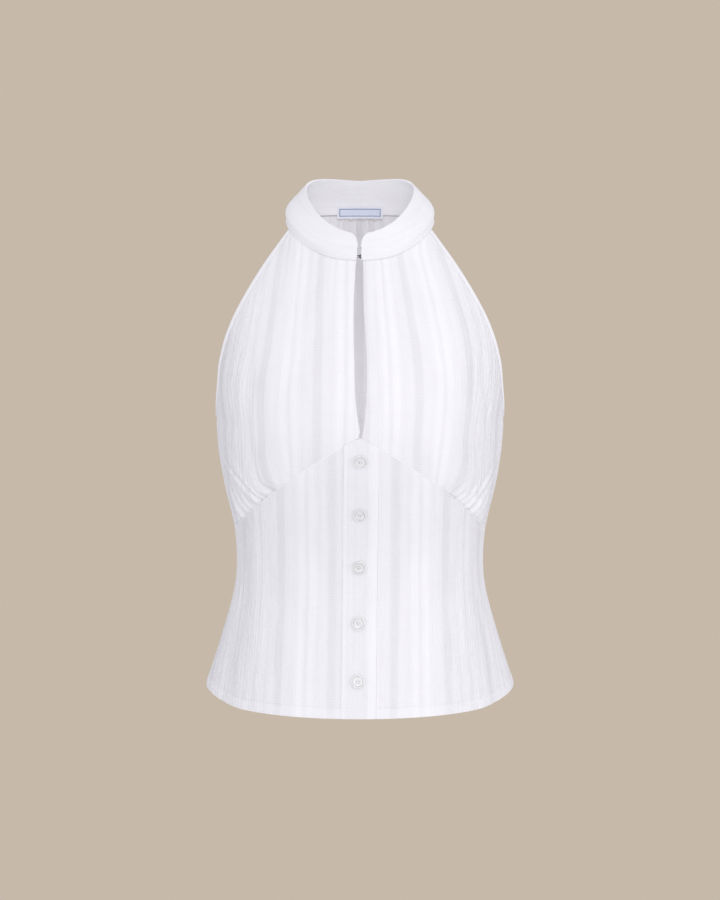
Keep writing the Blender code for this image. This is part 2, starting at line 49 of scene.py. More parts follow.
bodyForm = {
    # front height, back height, half width, front depth, back depth, squareness
    "loops": np.array([
        (-33, 0, 72, 62, 56, 0.000),
        (-66, -44, 112, 77, 84, 0.005),
        (-98, -88, 136.5, 93, 97, 0.010),
        (-134, -130, 143.5, 109, 101, 0.015),
        (-166, -166, 142.5, 118, 100, 0.018),
        (-196, -196, 142, 121, 97, 0.020),
        (-232, -232, 140, 116, 92, 0.020),
        (-270, -270, 135, 105, 86, 0.018),
        (-305, -305, 126.7, 96, 80, 0.015),
        (-335, -335, 123, 92, 78, 0.015),
        (-370, -370, 126.5, 94, 84, 0.015),
        (-420, -420, 140, 104, 98, 0.015),
        (-474, -474, 157.5, 118, 112, 0.015),
    ]),
    "tiltStart": math.radians(8),
    "tiltSpan": math.radians(95),
    "hem": -474.0,
    "seamTip": -196.0,          # the pointed seam under the bust
    "seamSide": -305.0,
    "seamBend": 1.15,
    "slit": np.array([          # height, centre, width
        (-33, -0.4, 6.8), (-52, -0.9, 8.4), (-75, -1.2, 9.8), (-124, 0.4, 12.2),
        (-160, 1.0, 10.4), (-183, 1.3, 5.0), (-196, 1.5, 0.5),
    ]),
    "bandCentre": (1.5, -1.5),  # at the seam's tip and at the hem
    "sideLift": 4.0,            # how much higher the hem is at the side seams
    "sideEase": np.array([      # height, how far the worn cloth stands out at the sides
        (-60, 0.0), (-90, 0.5), (-117, 1.35), (-146, 1.75), (-160, 2.0), (-176, 1.5), (-190, 0.4),
        (-204, 1.1), (-218, 1.0), (-231, 0.7), (-244, 0.1), (-258, -0.7), (-272, -1.6),
        (-286, -2.1), (-297, -1.4), (-307, -0.3), (-318, 0.3), (-330, 0.9), (-346, 0.7),
        (-362, 0.2), (-380, 0.0),
    ]),
    "armhole": np.array([       # degrees, height
        (73.5, -8), (64.8, -48), (63.4, -88), (68.6, -128), (76.4, -168), (90.0, -192),
        (101.5, -175), (112.0, -132), (122.0, -88), (127.0, -44), (121.5, -2),
    ]),
}
loops = bodyForm["loops"]


def mix(a, b, share):
    return a + (b - a) * share


def smooth(share):
    share = np.clip(share, 0, 1)
    return share * share * (3 - 2 * share)


def bell(away):
    away = np.clip(np.abs(away), 0, 1)
    return (1 - away * away) ** 2


def curveThrough(knots, values, at):
    # a smooth curve through the values, straight on past its ends
    at = np.asarray(at, float)
    flat = at.ravel()
    knots = np.asarray(knots, float).reshape(len(knots), -1) * np.ones(flat.size)
    values = np.asarray(values, float)
    if knots[0, 0] > knots[-1, 0]:
        knots, flat = -knots, -flat
    last = len(knots) - 1
    i = (flat > knots[1:last]).sum(axis=0)
    every = np.arange(flat.size)

    def slopeAt(k):
        low, high = np.maximum(k - 1, 0), np.minimum(k + 1, last)
        return (values[high] - values[low]) / (knots[high, every] - knots[low, every])

    start, end = knots[i, every], knots[i + 1, every]
    slopeIn, slopeOut = slopeAt(i), slopeAt(i + 1)
    width = end - start
    t = (flat - start) / width
    inside = (
        values[i] * (1 + 2 * t) * (1 - t) ** 2 + values[i + 1] * t * t * (3 - 2 * t)
        + slopeIn * width * t * (1 - t) ** 2 - slopeOut * width * t * t * (1 - t)
    )
    before = values[i] + slopeIn * (flat - start)
    after = values[i + 1] + slopeOut * (flat - end)
    return np.where(t < 0, before, np.where(t > 1, after, inside)).reshape(at.shape)


def wrapped(angle):
    return (np.asarray(angle, float) + math.pi) % (2 * math.pi) - math.pi


def tiltAt(angle):
    return smooth((np.abs(wrapped(angle)) - bodyForm["tiltStart"]) / bodyForm["tiltSpan"])


def loopPoint(halfWidth, front, back, square, angle, z):
    x = halfWidth * (np.sin(angle) + square * np.sin(3 * angle)) / (1 - square)
    ahead = (np.cos(angle) - square * np.cos(3 * angle)) / (1 - square)
    return np.stack([x, -ahead * np.where(ahead > 0, front, back), z], -1)


def bodyPoint(angle, z):
    angle, z = np.broadcast_arrays(np.asarray(angle, float), np.asarray(z, float))
    a, h = angle.ravel(), z.ravel()
    heights = mix(loops[:, 0, None], loops[:, 1, None], tiltAt(a))
    sizes = [curveThrough(heights, loops[:, k], h) for k in range(2, 6)]
    return loopPoint(*sizes, a, h).reshape(angle.shape + (3,))


def unit(v):
    return v / np.maximum(np.linalg.norm(v, axis=-1, keepdims=True), 1e-9)


def bodyNormal(angle, z):
    across = bodyPoint(angle + 0.002, z) - bodyPoint(angle - 0.002, z)
    up = bodyPoint(angle, z + 0.5) - bodyPoint(angle, z - 0.5)
    return unit(np.cross(across, up))


def sideEase(angle, z):
    ease = bodyForm["sideEase"]
    within = smooth((np.abs(np.sin(angle)) - 0.62) / 0.3)
    return within * curveThrough(ease[:, 0], ease[:, 1], np.clip(z, ease[-1, 0], ease[0, 0]))


def onBody(angle, z, rise=0.0):
    angle, z = np.broadcast_arrays(np.asarray(angle, float), np.asarray(z, float))
    lift = np.asarray(rise) + sideEase(angle, z)
    return bodyPoint(angle, z) + bodyNormal(angle, z) * lift[..., None]


def frontAngle(x, z):
    # the angle at which the front has that x
    x, z = np.broadcast_arrays(np.asarray(x, float), np.asarray(z, float))
    low, high = np.full(x.shape, -math.pi / 2), np.full(x.shape, math.pi / 2)
    for _ in range(26):
        middle = (low + high) / 2
        under = bodyPoint(middle, z)[..., 0] < x
        low, high = np.where(under, middle, low), np.where(under, high, middle)
    return (low + high) / 2


def neckSeam(angle):
    return mix(loops[0, 0], loops[0, 1], tiltAt(angle))


def bustSeam(angle):
    share = np.abs(np.sin(angle)) ** bodyForm["seamBend"]
    return mix(bodyForm["seamTip"], bodyForm["seamSide"], share)


def hemLine(angle):
    return bodyForm["hem"] + bodyForm["sideLift"] * smooth((np.abs(np.sin(angle)) - 0.70) / 0.3)


def bandCentre(z):
    tip = bodyForm["seamTip"]
    return mix(*bodyForm["bandCentre"], (z - tip) / (bodyForm["hem"] - tip))


# distance along the cloth from the centre front, for every height and angle
arcHeights = np.arange(-480.0, 42.0, 3.0)
arcAngles = np.radians(np.arange(0, 180.25, 0.5))
arcPoints = bodyPoint(arcAngles[None, :], arcHeights[:, None])
arcSteps = np.linalg.norm(np.diff(arcPoints, axis=1), axis=2)
arcTable = np.hstack([np.zeros((len(arcHeights), 1)), np.cumsum(arcSteps, axis=1)])


def arcAt(angle, z):
    # signed: the wearer's left is positive
    turned = wrapped(angle)
    row = np.clip((z - arcHeights[0]) / 3.0, 0, len(arcHeights) - 1.001)
    column = np.clip(np.abs(turned) / arcAngles[1], 0, len(arcAngles) - 1.001)
    j, i = row.astype(int), column.astype(int)
    v, u = row - j, column - i
    low = mix(arcTable[j, i], arcTable[j, i + 1], u)
    high = mix(arcTable[j + 1, i], arcTable[j + 1, i + 1], u)
    return np.sign(turned) * mix(low, high, v)


def backArc(angle, z):
    # distance from the centre back, for angles from 90 to 270 degrees
    half = arcAt(np.full(np.shape(z), math.pi - 1e-6), z)
    side = np.where(np.asarray(angle) <= math.pi, 1.0, -1.0)
    return side * (np.abs(arcAt(angle, z)) - half)


def armholeEdge(share):
    places = np.arange(len(bodyForm["armhole"]))
    at = np.asarray(share, float) * (len(places) - 1)
    degrees = curveThrough(places, bodyForm["armhole"][:, 0], at)
    return np.radians(degrees), curveThrough(places, bodyForm["armhole"][:, 1], at)


def movedEdge(share, inset):
    # the armhole's edge moved into the cloth by inset
    share = np.asarray(share, float)
    along = bodyPoint(*armholeEdge(share + 0.004)) - bodyPoint(*armholeEdge(share - 0.004))
    angle, z = armholeEdge(share)
    inwards = unit(np.cross(along, bodyNormal(angle, z))) * np.asarray(inset)[..., None]
    across = (bodyPoint(angle + 0.004, z) - bodyPoint(angle - 0.004, z)) / 0.008
    up = bodyPoint(angle, z + 0.5) - bodyPoint(angle, z - 0.5)
    aa, uu, au = (across * across).sum(-1), (up * up).sum(-1), (across * up).sum(-1)
    ai, ui = (across * inwards).sum(-1), (up * inwards).sum(-1)
    spread = aa * uu - au * au
    return angle + (ai * uu - ui * au) / spread, z + (ui * aa - ai * au) / spread


def armholeLine(share, inset, under=0.9):
    # the moved edge, with its ends drawn up to the collar
    share = np.asarray(share, float)
    angle, z = movedEdge(share, inset)
    endAngle, endZ = movedEdge(np.where(share < 0.5, 0.0, 1.0), inset)
    lift = neckSeam(endAngle) - under - endZ
    return angle, z + lift * smooth(1 - np.minimum(share, 1 - share) / 0.12)


# how cloth is laid and thickened

clothing = {
    "wall": 0.85,
    "grain": 1.7,            # the size of a panel's mesh
    "backGrain": 2.6,        # and across the back, which has no gathers
    "seamGap": 0.10,
    "underCollar": 0.15,
    "rollDepth": 0.42,       # how far an edge turns in at a seam
    "rollWidth": 1.2,
    "tuck": 1.2,             # how far the gathered edge runs on under the seam
    "tuckDepth": 0.72,
    "tuckReach": 1.8,
    "plainTuck": 0.7,        # the share of that where the seam is plain
    "plainTuckDepth": 0.34,
    "plainTuckReach": 1.0,
    "gathersFrom": 72.0,     # the arc at which the gathers begin, and how soon they are full
    "gathersFullIn": 24.0,
    "edgeSteps": (0, 0.25, 0.6, 1.05, 1.6, 2.3, 3.2),
    "bevel": 0.28,
    "upperSide": 142.0,      # the body's half width at the side seams above and below the waist
    "lowerSide": 125.0,
    "plainCrinkle": 0.35,    # on the pieces that have no crepe of their own
}


def sharesAcross(widths, grain=None, plainLow=False, plainHigh=False):
    # shares across each row: close together at its edges and even between them
    near = np.array(clothing["edgeSteps"])
    grain = grain or clothing["grain"]
    count = max(4, round(float(np.max(widths)) / grain))
    between = np.linspace(0, 1, count + 1)[1:-1]
    widths = np.asarray(widths, float).reshape(-1, 1)
    low = near[: 1 if plainLow else None] / widths
    high = 1 - near[: 1 if plainHigh else None][::-1] / widths
    return np.hstack([low, mix(low[:, -1:], high[:, :1], between), high])


def seamRoll(distance, share=1.0):
    # how far the cloth turns in, a quarter round, towards a seam
    away = np.clip(distance / clothing["rollWidth"], 0, 1)
    return share * clothing["rollDepth"] * (1 - np.sqrt(1 - (1 - away) ** 2))


def gatheredAt(arc):
    # 0 where the bust seam is plain and 1 where the cloth is gathered into it
    return smooth((np.abs(arc) - clothing["gathersFrom"]) / clothing["gathersFullIn"])


def tuckAt(gathered):
    # how far the edge runs on under the lower part, the gathered one further than the plain
    return mix(clothing["plainTuck"], 1.0, gathered) * clothing["tuck"]


def tuckRoll(distance, gathered):
    # how far in the cloth goes to pass under the lower part's edge
    reach = mix(clothing["plainTuckReach"], clothing["tuckReach"], gathered)
    away = (distance - 0.8 * tuckAt(gathered)) / reach
    return clothing["tuckDepth"] * mix(clothing["plainTuckDepth"], 1.0, gathered) * (1 - smooth(away))


def sideSeam(part, halfWidth):
    # the angle of a panel's edge at the side seam: part is 1 for the back and -1 for the front
    return math.pi / 2 + part * clothing["seamGap"] / 2 / halfWidth


def crepeAt(arc, middle, side, start, reach):
    # how creped the cloth looks, from a panel's middle to its side
    return mix(middle, side, smooth((np.abs(arc) - start) / reach))


def sideName(stem, side):
    return stem + ("_left" if side > 0 else "_right")


def edgeDistances(points):
    # distances from the left, right, bottom and top edges of a grid of points
    across = np.linalg.norm(np.diff(points, axis=1), axis=2)
    up = np.linalg.norm(np.diff(points, axis=0), axis=2)
    fromLeft = np.hstack([np.zeros((len(points), 1)), np.cumsum(across, axis=1)])
    fromBottom = np.vstack([np.zeros((1, points.shape[1])), np.cumsum(up, axis=0)])
    return fromLeft, fromLeft[:, -1:] - fromLeft, fromBottom, fromBottom[-1:] - fromBottom


def gridArea(points):
    # the area of a grid of points in square metres
    a = points[1:, 1:] - points[:-1, :-1]
    b = points[1:, :-1] - points[:-1, 1:]
    return float(np.linalg.norm(np.cross(a, b), axis=-1).sum() / 2 * mm * mm)


def creaseRise(arc, z, creases):
    # each crease: where it starts and ends, its bow, its depth, its widths and whether it
    # starts at a seam (1) or fades in (0)
    rise = np.zeros(np.shape(arc))
    for arcStart, zStart, arcEnd, zEnd, bow, depth, widthStart, widthEnd, rooted in creases:
        length = math.hypot(arcEnd - arcStart, zEnd - zStart)
        ua, uz = (arcEnd - arcStart) / length, (zEnd - zStart) / length
        share = ((arc - arcStart) * ua + (z - zStart) * uz) / length
        inside = np.clip(share, 0, 1)
        aside = (z - zStart) * ua - (arc - arcStart) * uz - bow * 4 * inside * (1 - inside)
        width = mix(widthStart, widthEnd, inside)
        fade = 1 - smooth((share - 0.3) / 0.7)
        start = smooth((share + 0.12) / 0.12) if rooted else smooth(share / 0.35)
        rise += depth * bell(aside / width) * fade * start
    return rise


def clothWaves(arc, z, size):
    # the slight unevenness of soft cloth, mostly along the grain
    return size * (
        0.50 * np.sin(arc / 9.0 + 0.8 * np.sin(z / 61.0) + 0.4)
        + 0.32 * np.sin(arc / 4.3 + 1.3 * np.sin(z / 43.0 + 1.0) + 2.1)
        + 0.40 * np.sin(z / 27.0 + 1.1 * np.sin(arc / 31.0) + 0.9)
        + 0.22 * np.sin(z / 11.0 + 1.7 * np.sin(arc / 17.0) + 4.0)
    )


def newObject(name, data):
    made = bpy.data.objects.new(name, data)
    bpy.context.scene.collection.objects.link(made)
    return made


def choose(*parts):
    # these objects alone are selected, and the last one is active
    bpy.ops.object.select_all(action="DESELECT")
    for part in parts:
        part.select_set(True)
    bpy.context.view_layer.objects.active = parts[-1]


def applyAll(made):
    choose(made)
    for modifier in list(made.modifiers):
        bpy.ops.object.modifier_apply(modifier=modifier.name)
    made.select_set(False)


def addBevel(made, width, degrees):
    # rounds the edges that are sharper than that
    rounded = made.modifiers.new("Edges", "BEVEL")
    rounded.limit_method = "ANGLE"
    rounded.angle_limit = math.radians(degrees)
    rounded.width = width * mm
    rounded.segments = 2


def turnOutwards(made):
    choose(made)
    bpy.ops.object.mode_set(mode="EDIT")
    bpy.ops.mesh.select_all(action="SELECT")
    bpy.ops.mesh.normals_make_consistent(inside=False)
    bpy.ops.object.mode_set(mode="OBJECT")


def gridCloth(name, points, fabric, finish, wall=None, thick=None, offset=-1.0, bevel=None,
              crinkle=None, doubled=None, shaded=None):
    # a sheet on a grid of points, given its wall and rounded edges; fabric is its UV, in mm;
    # the last three say, for each point, how creped or double the cloth is, and how much shade is
    # painted on it
    wall = wall or clothing["wall"]
    rows, columns = points.shape[:2]
    index = np.arange(rows * columns).reshape(rows, columns)
    corners = (index[:-1, :-1], index[:-1, 1:], index[1:, 1:], index[1:, :-1])
    quads = np.stack(corners, -1).reshape(-1, 4)
    mesh = bpy.data.meshes.new(name)
    mesh.from_pydata((points.reshape(-1, 3) * mm).tolist(), [], quads.tolist())
    layer = mesh.uv_layers.new(name="fabric")
    layer.data.foreach_set("uv", fabric.reshape(-1, 2)[quads.ravel()].ravel().astype(np.float32))
    amounts = (("crinkle", crinkle, clothing["plainCrinkle"]), ("doubled", doubled, 0.0),
               ("shaded", shaded, 0.0))
    for label, amount, plain in amounts:
        values = np.full(rows * columns, plain) if amount is None else amount.ravel()
        held = mesh.attributes.new(label, "FLOAT", "POINT")
        held.data.foreach_set("value", values.astype(np.float32))
    mesh.shade_smooth()
    made = newObject(name, mesh)
    solidify = made.modifiers.new("Wall", "SOLIDIFY")
    solidify.thickness = wall * mm
    solidify.offset = offset
    if thick is not None:
        group = made.vertex_groups.new(name="Wall")
        shares = (thick / wall).ravel()
        rounded = np.round(shares, 3)
        for value in np.unique(rounded):
            chosen = np.nonzero(rounded == value)[0]
            group.add(chosen.tolist(), float(value), "REPLACE")
        solidify.vertex_group = group.name
    addBevel(made, bevel or clothing["bevel"], 50)
    applyAll(made)
    made.data.materials.append(finish)
    return made


# finishes

class Finish:
    # a new material, and short ways to wire its nodes
    def __init__(self, name):
        self.made = bpy.data.materials.new(name)
        self.made.use_nodes = True
        self.nodes = self.made.node_tree.nodes

    def join(self, value, socket):
        if isinstance(value, (int, float, tuple)):
            socket.default_value = value
        else:
            self.made.node_tree.links.new(value, socket)

    def node(self, kind, inputs=(), output=0, **settings):
        made = self.nodes.new("ShaderNode" + kind)
        for name, value in settings.items():
            setattr(made, name, value)
        for socket, value in dict(inputs).items():
            self.join(value, made.inputs[socket])
        return made.outputs[output]

    def calc(self, operation, a, b=0.5, clamp=False):
        return self.node("Math", {0: a, 1: b}, operation=operation, use_clamp=clamp)

    def times(self, a, b):
        return self.calc("MULTIPLY", a, b)

    def plus(self, a, b):
        return self.calc("ADD", a, b)

    def minus(self, a, b, clamp=False):
        return self.calc("SUBTRACT", a, b, clamp)

    def wave(self, place, pitch, shift=None):
        turn = self.times(place, 2 * math.pi / pitch)
        return self.calc("SINE", turn if shift is None else self.plus(shift, turn))

    def attribute(self, label):
        return self.node("Attribute", output="Fac", attribute_name=label)

    def fabric(self):
        # the cloth's own UV in millimetres, and its x and y
        uv = self.node("UVMap", uv_map="fabric")
        split = self.nodes.new("ShaderNodeSeparateXYZ")
        self.join(uv, split.inputs[0])
        return uv, split.outputs[0], split.outputs[1]

    def noise(self, vector, scale, detail=2.0, roughness=0.5):
        # a pair of scales stretches the pattern
        if isinstance(scale, tuple):
            vector = self.node("Mapping", {"Vector": vector, "Scale": (*scale, 1)})
            scale = 1.0
        return self.node("TexNoise", {"Vector": vector, "Scale": scale, "Detail": detail,
                                      "Roughness": roughness}, "Fac")

    def ramp(self, source, stops):
        # each stop: its place, and a brightness or a colour
        made = self.nodes.new("ShaderNodeValToRGB")
        elements = made.color_ramp.elements
        while len(elements) > 1:
            elements.remove(elements[-1])
        for number, (place, value) in enumerate(stops):
            element = elements[0] if number == 0 else elements.new(place)
            element.position = place
            element.color = (*value, 1) if isinstance(value, tuple) else (value, value, value, 1)
        self.join(source, made.inputs[0])
        return made.outputs[0]

    def blend(self, a, b, factor=1.0, kind="MULTIPLY"):
        return self.node("Mix", {"Factor": factor, 6: a, 7: b}, 2, data_type="RGBA", blend_type=kind)

    def bump(self, height, strength, distance, under=None):
        inputs = {"Height": height, "Strength": strength, "Distance": distance}
        if under is not None:
            inputs["Normal"] = under
        return self.node("Bump", inputs)

    def surface(self, values):
        for socket, value in values.items():
            self.join(value, self.nodes["Principled BSDF"].inputs[socket])
        return self.made


stripes = {
    "repeat": 52.0,
    "profile": (             # distance from the middle of an openwork band, brightness
        (0.0, 0.888), (3.0, 0.893), (5.4, 0.952), (9.0, 0.965), (12.5, 0.948), (16.0, 0.965),
        (18.6, 0.992), (21.8, 0.995), (24.2, 0.938), (25.6, 0.942), (28.2, 0.992), (32.0, 1.0),
        (35.0, 0.965), (38.5, 0.950), (41.0, 0.964), (46.6, 0.952), (49.0, 0.893), (52.0, 0.888),
    ),
    "openwork": ((0.0, 1.0), (2.8, 0.9), (5.2, 0.0), (46.8, 0.0), (49.2, 0.9), (52.0, 1.0)),
    "ribPitch": 2.7,         # of the openwork's small bars
    "ribTone": 0.020,
    "colour": (0.905, 0.896, 0.912),
}
bandStripes = {
    "repeat": 52.0,
    "profile": (
        (0.0, 0.955), (9.0, 0.96), (9.6, 0.99), (12.4, 0.985), (13.2, 0.955), (18.0, 0.955),
        (20.0, 0.935), (22.0, 0.935), (23.5, 0.945), (29.6, 0.945), (31.0, 0.925), (32.2, 0.93),
        (33.6, 0.96), (36.0, 0.99), (42.6, 1.0), (44.0, 0.96), (52.0, 0.955),
    ),
    "colour": (0.905, 0.896, 0.912),
}
plainWeave = {"colour": (0.885, 0.877, 0.893)}
weaving = {
    "threadPitch": 0.62,
    "threadTone": 0.006,
    "threadHeight": 0.16,
    "combPitch": 3.8,
    "combTone": 0.085,
    "doubledHides": 0.75,       # how much of the pattern is lost where the cloth lies double
    "bump": (0.32, 0.00022),    # strength, and distance in metres
    "crepeBump": (0.9, 0.0014),
    "sheen": 0.06,
    "sheenRoughness": 0.5,
    "specular": 0.22,
}


def repeatStops(pattern, part):
    return [(place / pattern["repeat"], value) for place, value in pattern[part]]


def cottonMaterial(name, pattern):
    # woven cotton on the "fabric" UV in millimetres, x across the grain and y along it
    cloth = Finish(name)
    times, plus, minus, noise, ramp = cloth.times, cloth.plus, cloth.minus, cloth.noise, cloth.ramp
    uv, across, along = cloth.fabric()
    creped, doubled, shaded = map(cloth.attribute, ("crinkle", "doubled", "shaded"))

    # threads of uneven thickness: fine streaks along the grain, and fainter ones across it
    streaks = noise(uv, (0.55, 0.0045), 4.0, 0.66)
    slubs = noise(uv, (1.7, 0.03), 2.0, 0.55)
    weft = noise(uv, (0.03, 0.9), 3.0, 0.6)
    patches = noise(uv, (0.045, 0.022), 3.0, 0.55)
    lines = times(ramp(streaks, ((0.34, 0.90), (0.46, 0.985), (0.60, 1.0), (0.72, 1.03))),
                  ramp(slubs, ((0.30, 0.955), (0.50, 1.0), (0.72, 1.015))))
    tone = plus(1.0, times(minus(lines, 1.0), creped))
    tone = times(tone, ramp(weft, ((0.30, 0.982), (0.65, 1.0))))
    tone = times(tone, ramp(patches, ((0.35, 0.980), (0.60, 1.0))))
    height = plus(times(slubs, 0.9), times(weft, 0.6))
    if "profile" in pattern:
        ragged = noise(uv, (0.5, 0.35), 2.0, 0.6)
        wander = plus(times(minus(patches, 0.5), 3.0), times(minus(ragged, 0.5), 1.7))
        inRepeat = cloth.calc("FRACT", cloth.calc("DIVIDE", plus(across, wander), pattern["repeat"]))
        tone = times(tone, ramp(inRepeat, repeatStops(pattern, "profile")))
    if "openwork" in pattern:
        uneven = noise(uv, (0.02, 0.03), 2.0, 0.6)
        openwork = times(ramp(inRepeat, repeatStops(pattern, "openwork")),
                         ramp(uneven, ((0.36, 0.25), (0.62, 1.0))))
        wobble = times(noise(uv, (0.3, 0.15)), 2.6)
        rib = times(cloth.wave(plus(along, wobble), pattern["ribPitch"]), openwork)
        tone = times(tone, plus(1.0, times(rib, pattern["ribTone"])))
        height = minus(plus(height, times(rib, 0.5)), times(openwork, 0.35))
    # fine crisp lines along the grain, a few millimetres apart, where the cloth is creped
    drift = times(noise(uv, (0.09, 0.006)), 9.0)
    comb = cloth.wave(across, weaving["combPitch"], drift)
    present = noise(uv, (0.16, 0.012), 2.0, 0.6)
    amount = times(ramp(present, ((0.36, 0.0), (0.56, 1.0))), minus(creped, 0.3, clamp=True))
    line = ramp(times(plus(comb, 1.0), 0.5), (
        (0.0, 0.0), (0.05, 0.05), (0.25, 0.45), (0.75, 0.55), (0.93, 0.9), (1.0, 1.0)))
    line = times(minus(line, 0.5), amount)
    tone = times(tone, plus(1.0, times(line, weaving["combTone"])))
    # the plain weave itself
    weave = times(cloth.wave(across, weaving["threadPitch"]), cloth.wave(along, weaving["threadPitch"]))
    height = plus(height, times(weave, weaving["threadHeight"]))
    tone = times(tone, plus(1 - weaving["threadTone"], times(weave, weaving["threadTone"])))
    # less of it shows where the cloth lies double, and painted shade, from the shaded attribute,
    # darkens a narrow hollow along a seam and the cloth under the label
    single = minus(1.0, times(doubled, weaving["doubledHides"]))
    tone = plus(1.0, times(minus(tone, 1.0), single))
    tone = times(tone, minus(1.0, shaded))
    # soft crepe-like ridges along the grain, strongest at the sides
    mottle = noise(uv, (0.40, 0.20), 3.0, 0.65)
    ridges = plus(times(plus(streaks, times(mottle, 0.95)), creped), times(line, 0.30))
    threads = cloth.bump(height, *weaving["bump"])
    return cloth.surface({
        "Base Color": cloth.blend((*pattern["colour"], 1), tone),
        "Roughness": ramp(streaks, ((0.2, 0.96), (0.8, 0.84))),
        "Normal": cloth.bump(ridges, *weaving["crepeBump"], threads),
        "Sheen Weight": weaving["sheen"],
        "Sheen Roughness": weaving["sheenRoughness"],
        "Specular IOR Level": weaving["specular"],
    })


stripedCotton = cottonMaterial("striped_cotton_cloth", stripes)
bandCotton = cottonMaterial("button_band_cloth", bandStripes)
plainCotton = cottonMaterial("plain_cotton_cloth", plainWeave)


def pearlMaterial():
    pearl = Finish("button_pearl")
    place = pearl.node("TexCoord", output="Object")
    body = pearl.ramp(pearl.noise(place, 260.0, 3.0, 0.6), (
        (0.30, 0.70), (0.50, 0.80), (0.70, (0.87, 0.87, 0.875))))
    fine = pearl.noise(place, 1500.0)
    return pearl.surface({
        # painted shade: grey mixed in where the "groove" attribute marks the ring groove, the well,
        # under the rim and the holes
        "Base Color": pearl.blend(body, (0.58, 0.58, 0.58, 1), pearl.attribute("groove"), "MIX"),
        "Roughness": pearl.ramp(fine, ((0.3, 0.22), (0.7, 0.34))),
        "Coat Weight": 0.35,
        "Coat Roughness": 0.12,
    })


def threadMaterial():
    thread = Finish("sewing_thread")
    twist = thread.noise(thread.node("TexCoord", output="Object"), 2600.0)
    return thread.surface({
        "Base Color": thread.ramp(twist, ((0.3, (0.80, 0.80, 0.83)), (0.7, (0.90, 0.90, 0.93)))),
        "Normal": thread.bump(twist, 0.4, 0.0001),
        "Roughness": 0.6,
    })


def steelMaterial():
    steel = Finish("dark_hook_steel")
    worn = steel.noise(steel.node("TexCoord", output="Object"), 900.0, 3.0, 0.6)
    return steel.surface({
        "Base Color": steel.ramp(worn, ((0.35, (0.045, 0.042, 0.042)), (0.7, (0.12, 0.115, 0.11)))),
        "Roughness": steel.ramp(worn, ((0.3, 0.32), (0.7, 0.5))),
        "Metallic": 0.85,
    })


finishes = {"pearl": pearlMaterial(), "thread": threadMaterial(), "steel": steelMaterial()}


def finishPiece(made, nodeNames):
    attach(made, "root")
    if nodeNames:
        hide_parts(*nodeNames)


def stateSheet(points, width, length):
    # the cut's size in metres and its area, the smaller of the grid's area and width by length, are
    # worked out but not kept
    min(gridArea(points), width * length)


# stitches, as one joined mesh for each line

stitch = {
    "sides": 6,
    "ahead": 0.4,            # how far on a stitch looks for its direction
    # along the stitch, the share of its thickness, and its rise
    "rings": ((-0.5, 0.35, -1.0), (-0.32, 0.9, -0.1), (0.0, 1.0, 0.35), (0.32, 0.9, -0.1),
              (0.5, 0.35, -1.0)),
}


def pointAlong(at, places, values):
    return np.array([np.interp(at, places, values[:, k]) for k in range(3)])


def stitchMesh(name, lines, pitch, long, thick, sink=0.10):
    # each line is an array of points with an array of the cloth's normals
    vertices, faces = [], []
    sides, rings = stitch["sides"], stitch["rings"]
    for points, normals in lines:
        steps = np.linalg.norm(np.diff(points, axis=0), axis=1)
        places = np.concatenate([[0], np.cumsum(steps)])
        for number in range(int(places[-1] / pitch)):
            at = (number + 0.5) * pitch
            middle = pointAlong(at, places, points)
            out = unit(pointAlong(at, places, normals))
            if at + stitch["ahead"] < places[-1]:
                along = unit(pointAlong(at + stitch["ahead"], places, points) - middle)
            aside = unit(np.cross(along, out))
            first = len(vertices)
            for share, radius, lift in rings:
                centre = middle + along * share * long + out * (lift * thick / 2 - sink)
                for side in range(sides):
                    turn = 2 * math.pi * side / sides
                    ring = aside * math.cos(turn) + out * math.sin(turn)
                    vertices.append((centre + ring * radius * thick / 2) * mm)
            for r in range(len(rings) - 1):
                for side in range(sides):
                    a = first + r * sides + side
                    b = first + r * sides + (side + 1) % sides
                    faces.append((a, b, b + sides, a + sides))
            faces.append(tuple(first + side for side in reversed(range(sides))))
            top = first + (len(rings) - 1) * sides
            faces.append(tuple(top + side for side in range(sides)))
    mesh = bpy.data.meshes.new(name)
    mesh.from_pydata([tuple(v) for v in vertices], [], faces)
    mesh.materials.append(finishes["thread"])
    mesh.shade_smooth()
    made = newObject(name, mesh)
    turnOutwards(made)
    made.select_set(False)
    finishPiece(made, ())


print("form and finishes ready")

# the upper fronts, gathered onto the seam under the bust and fanned from the collar

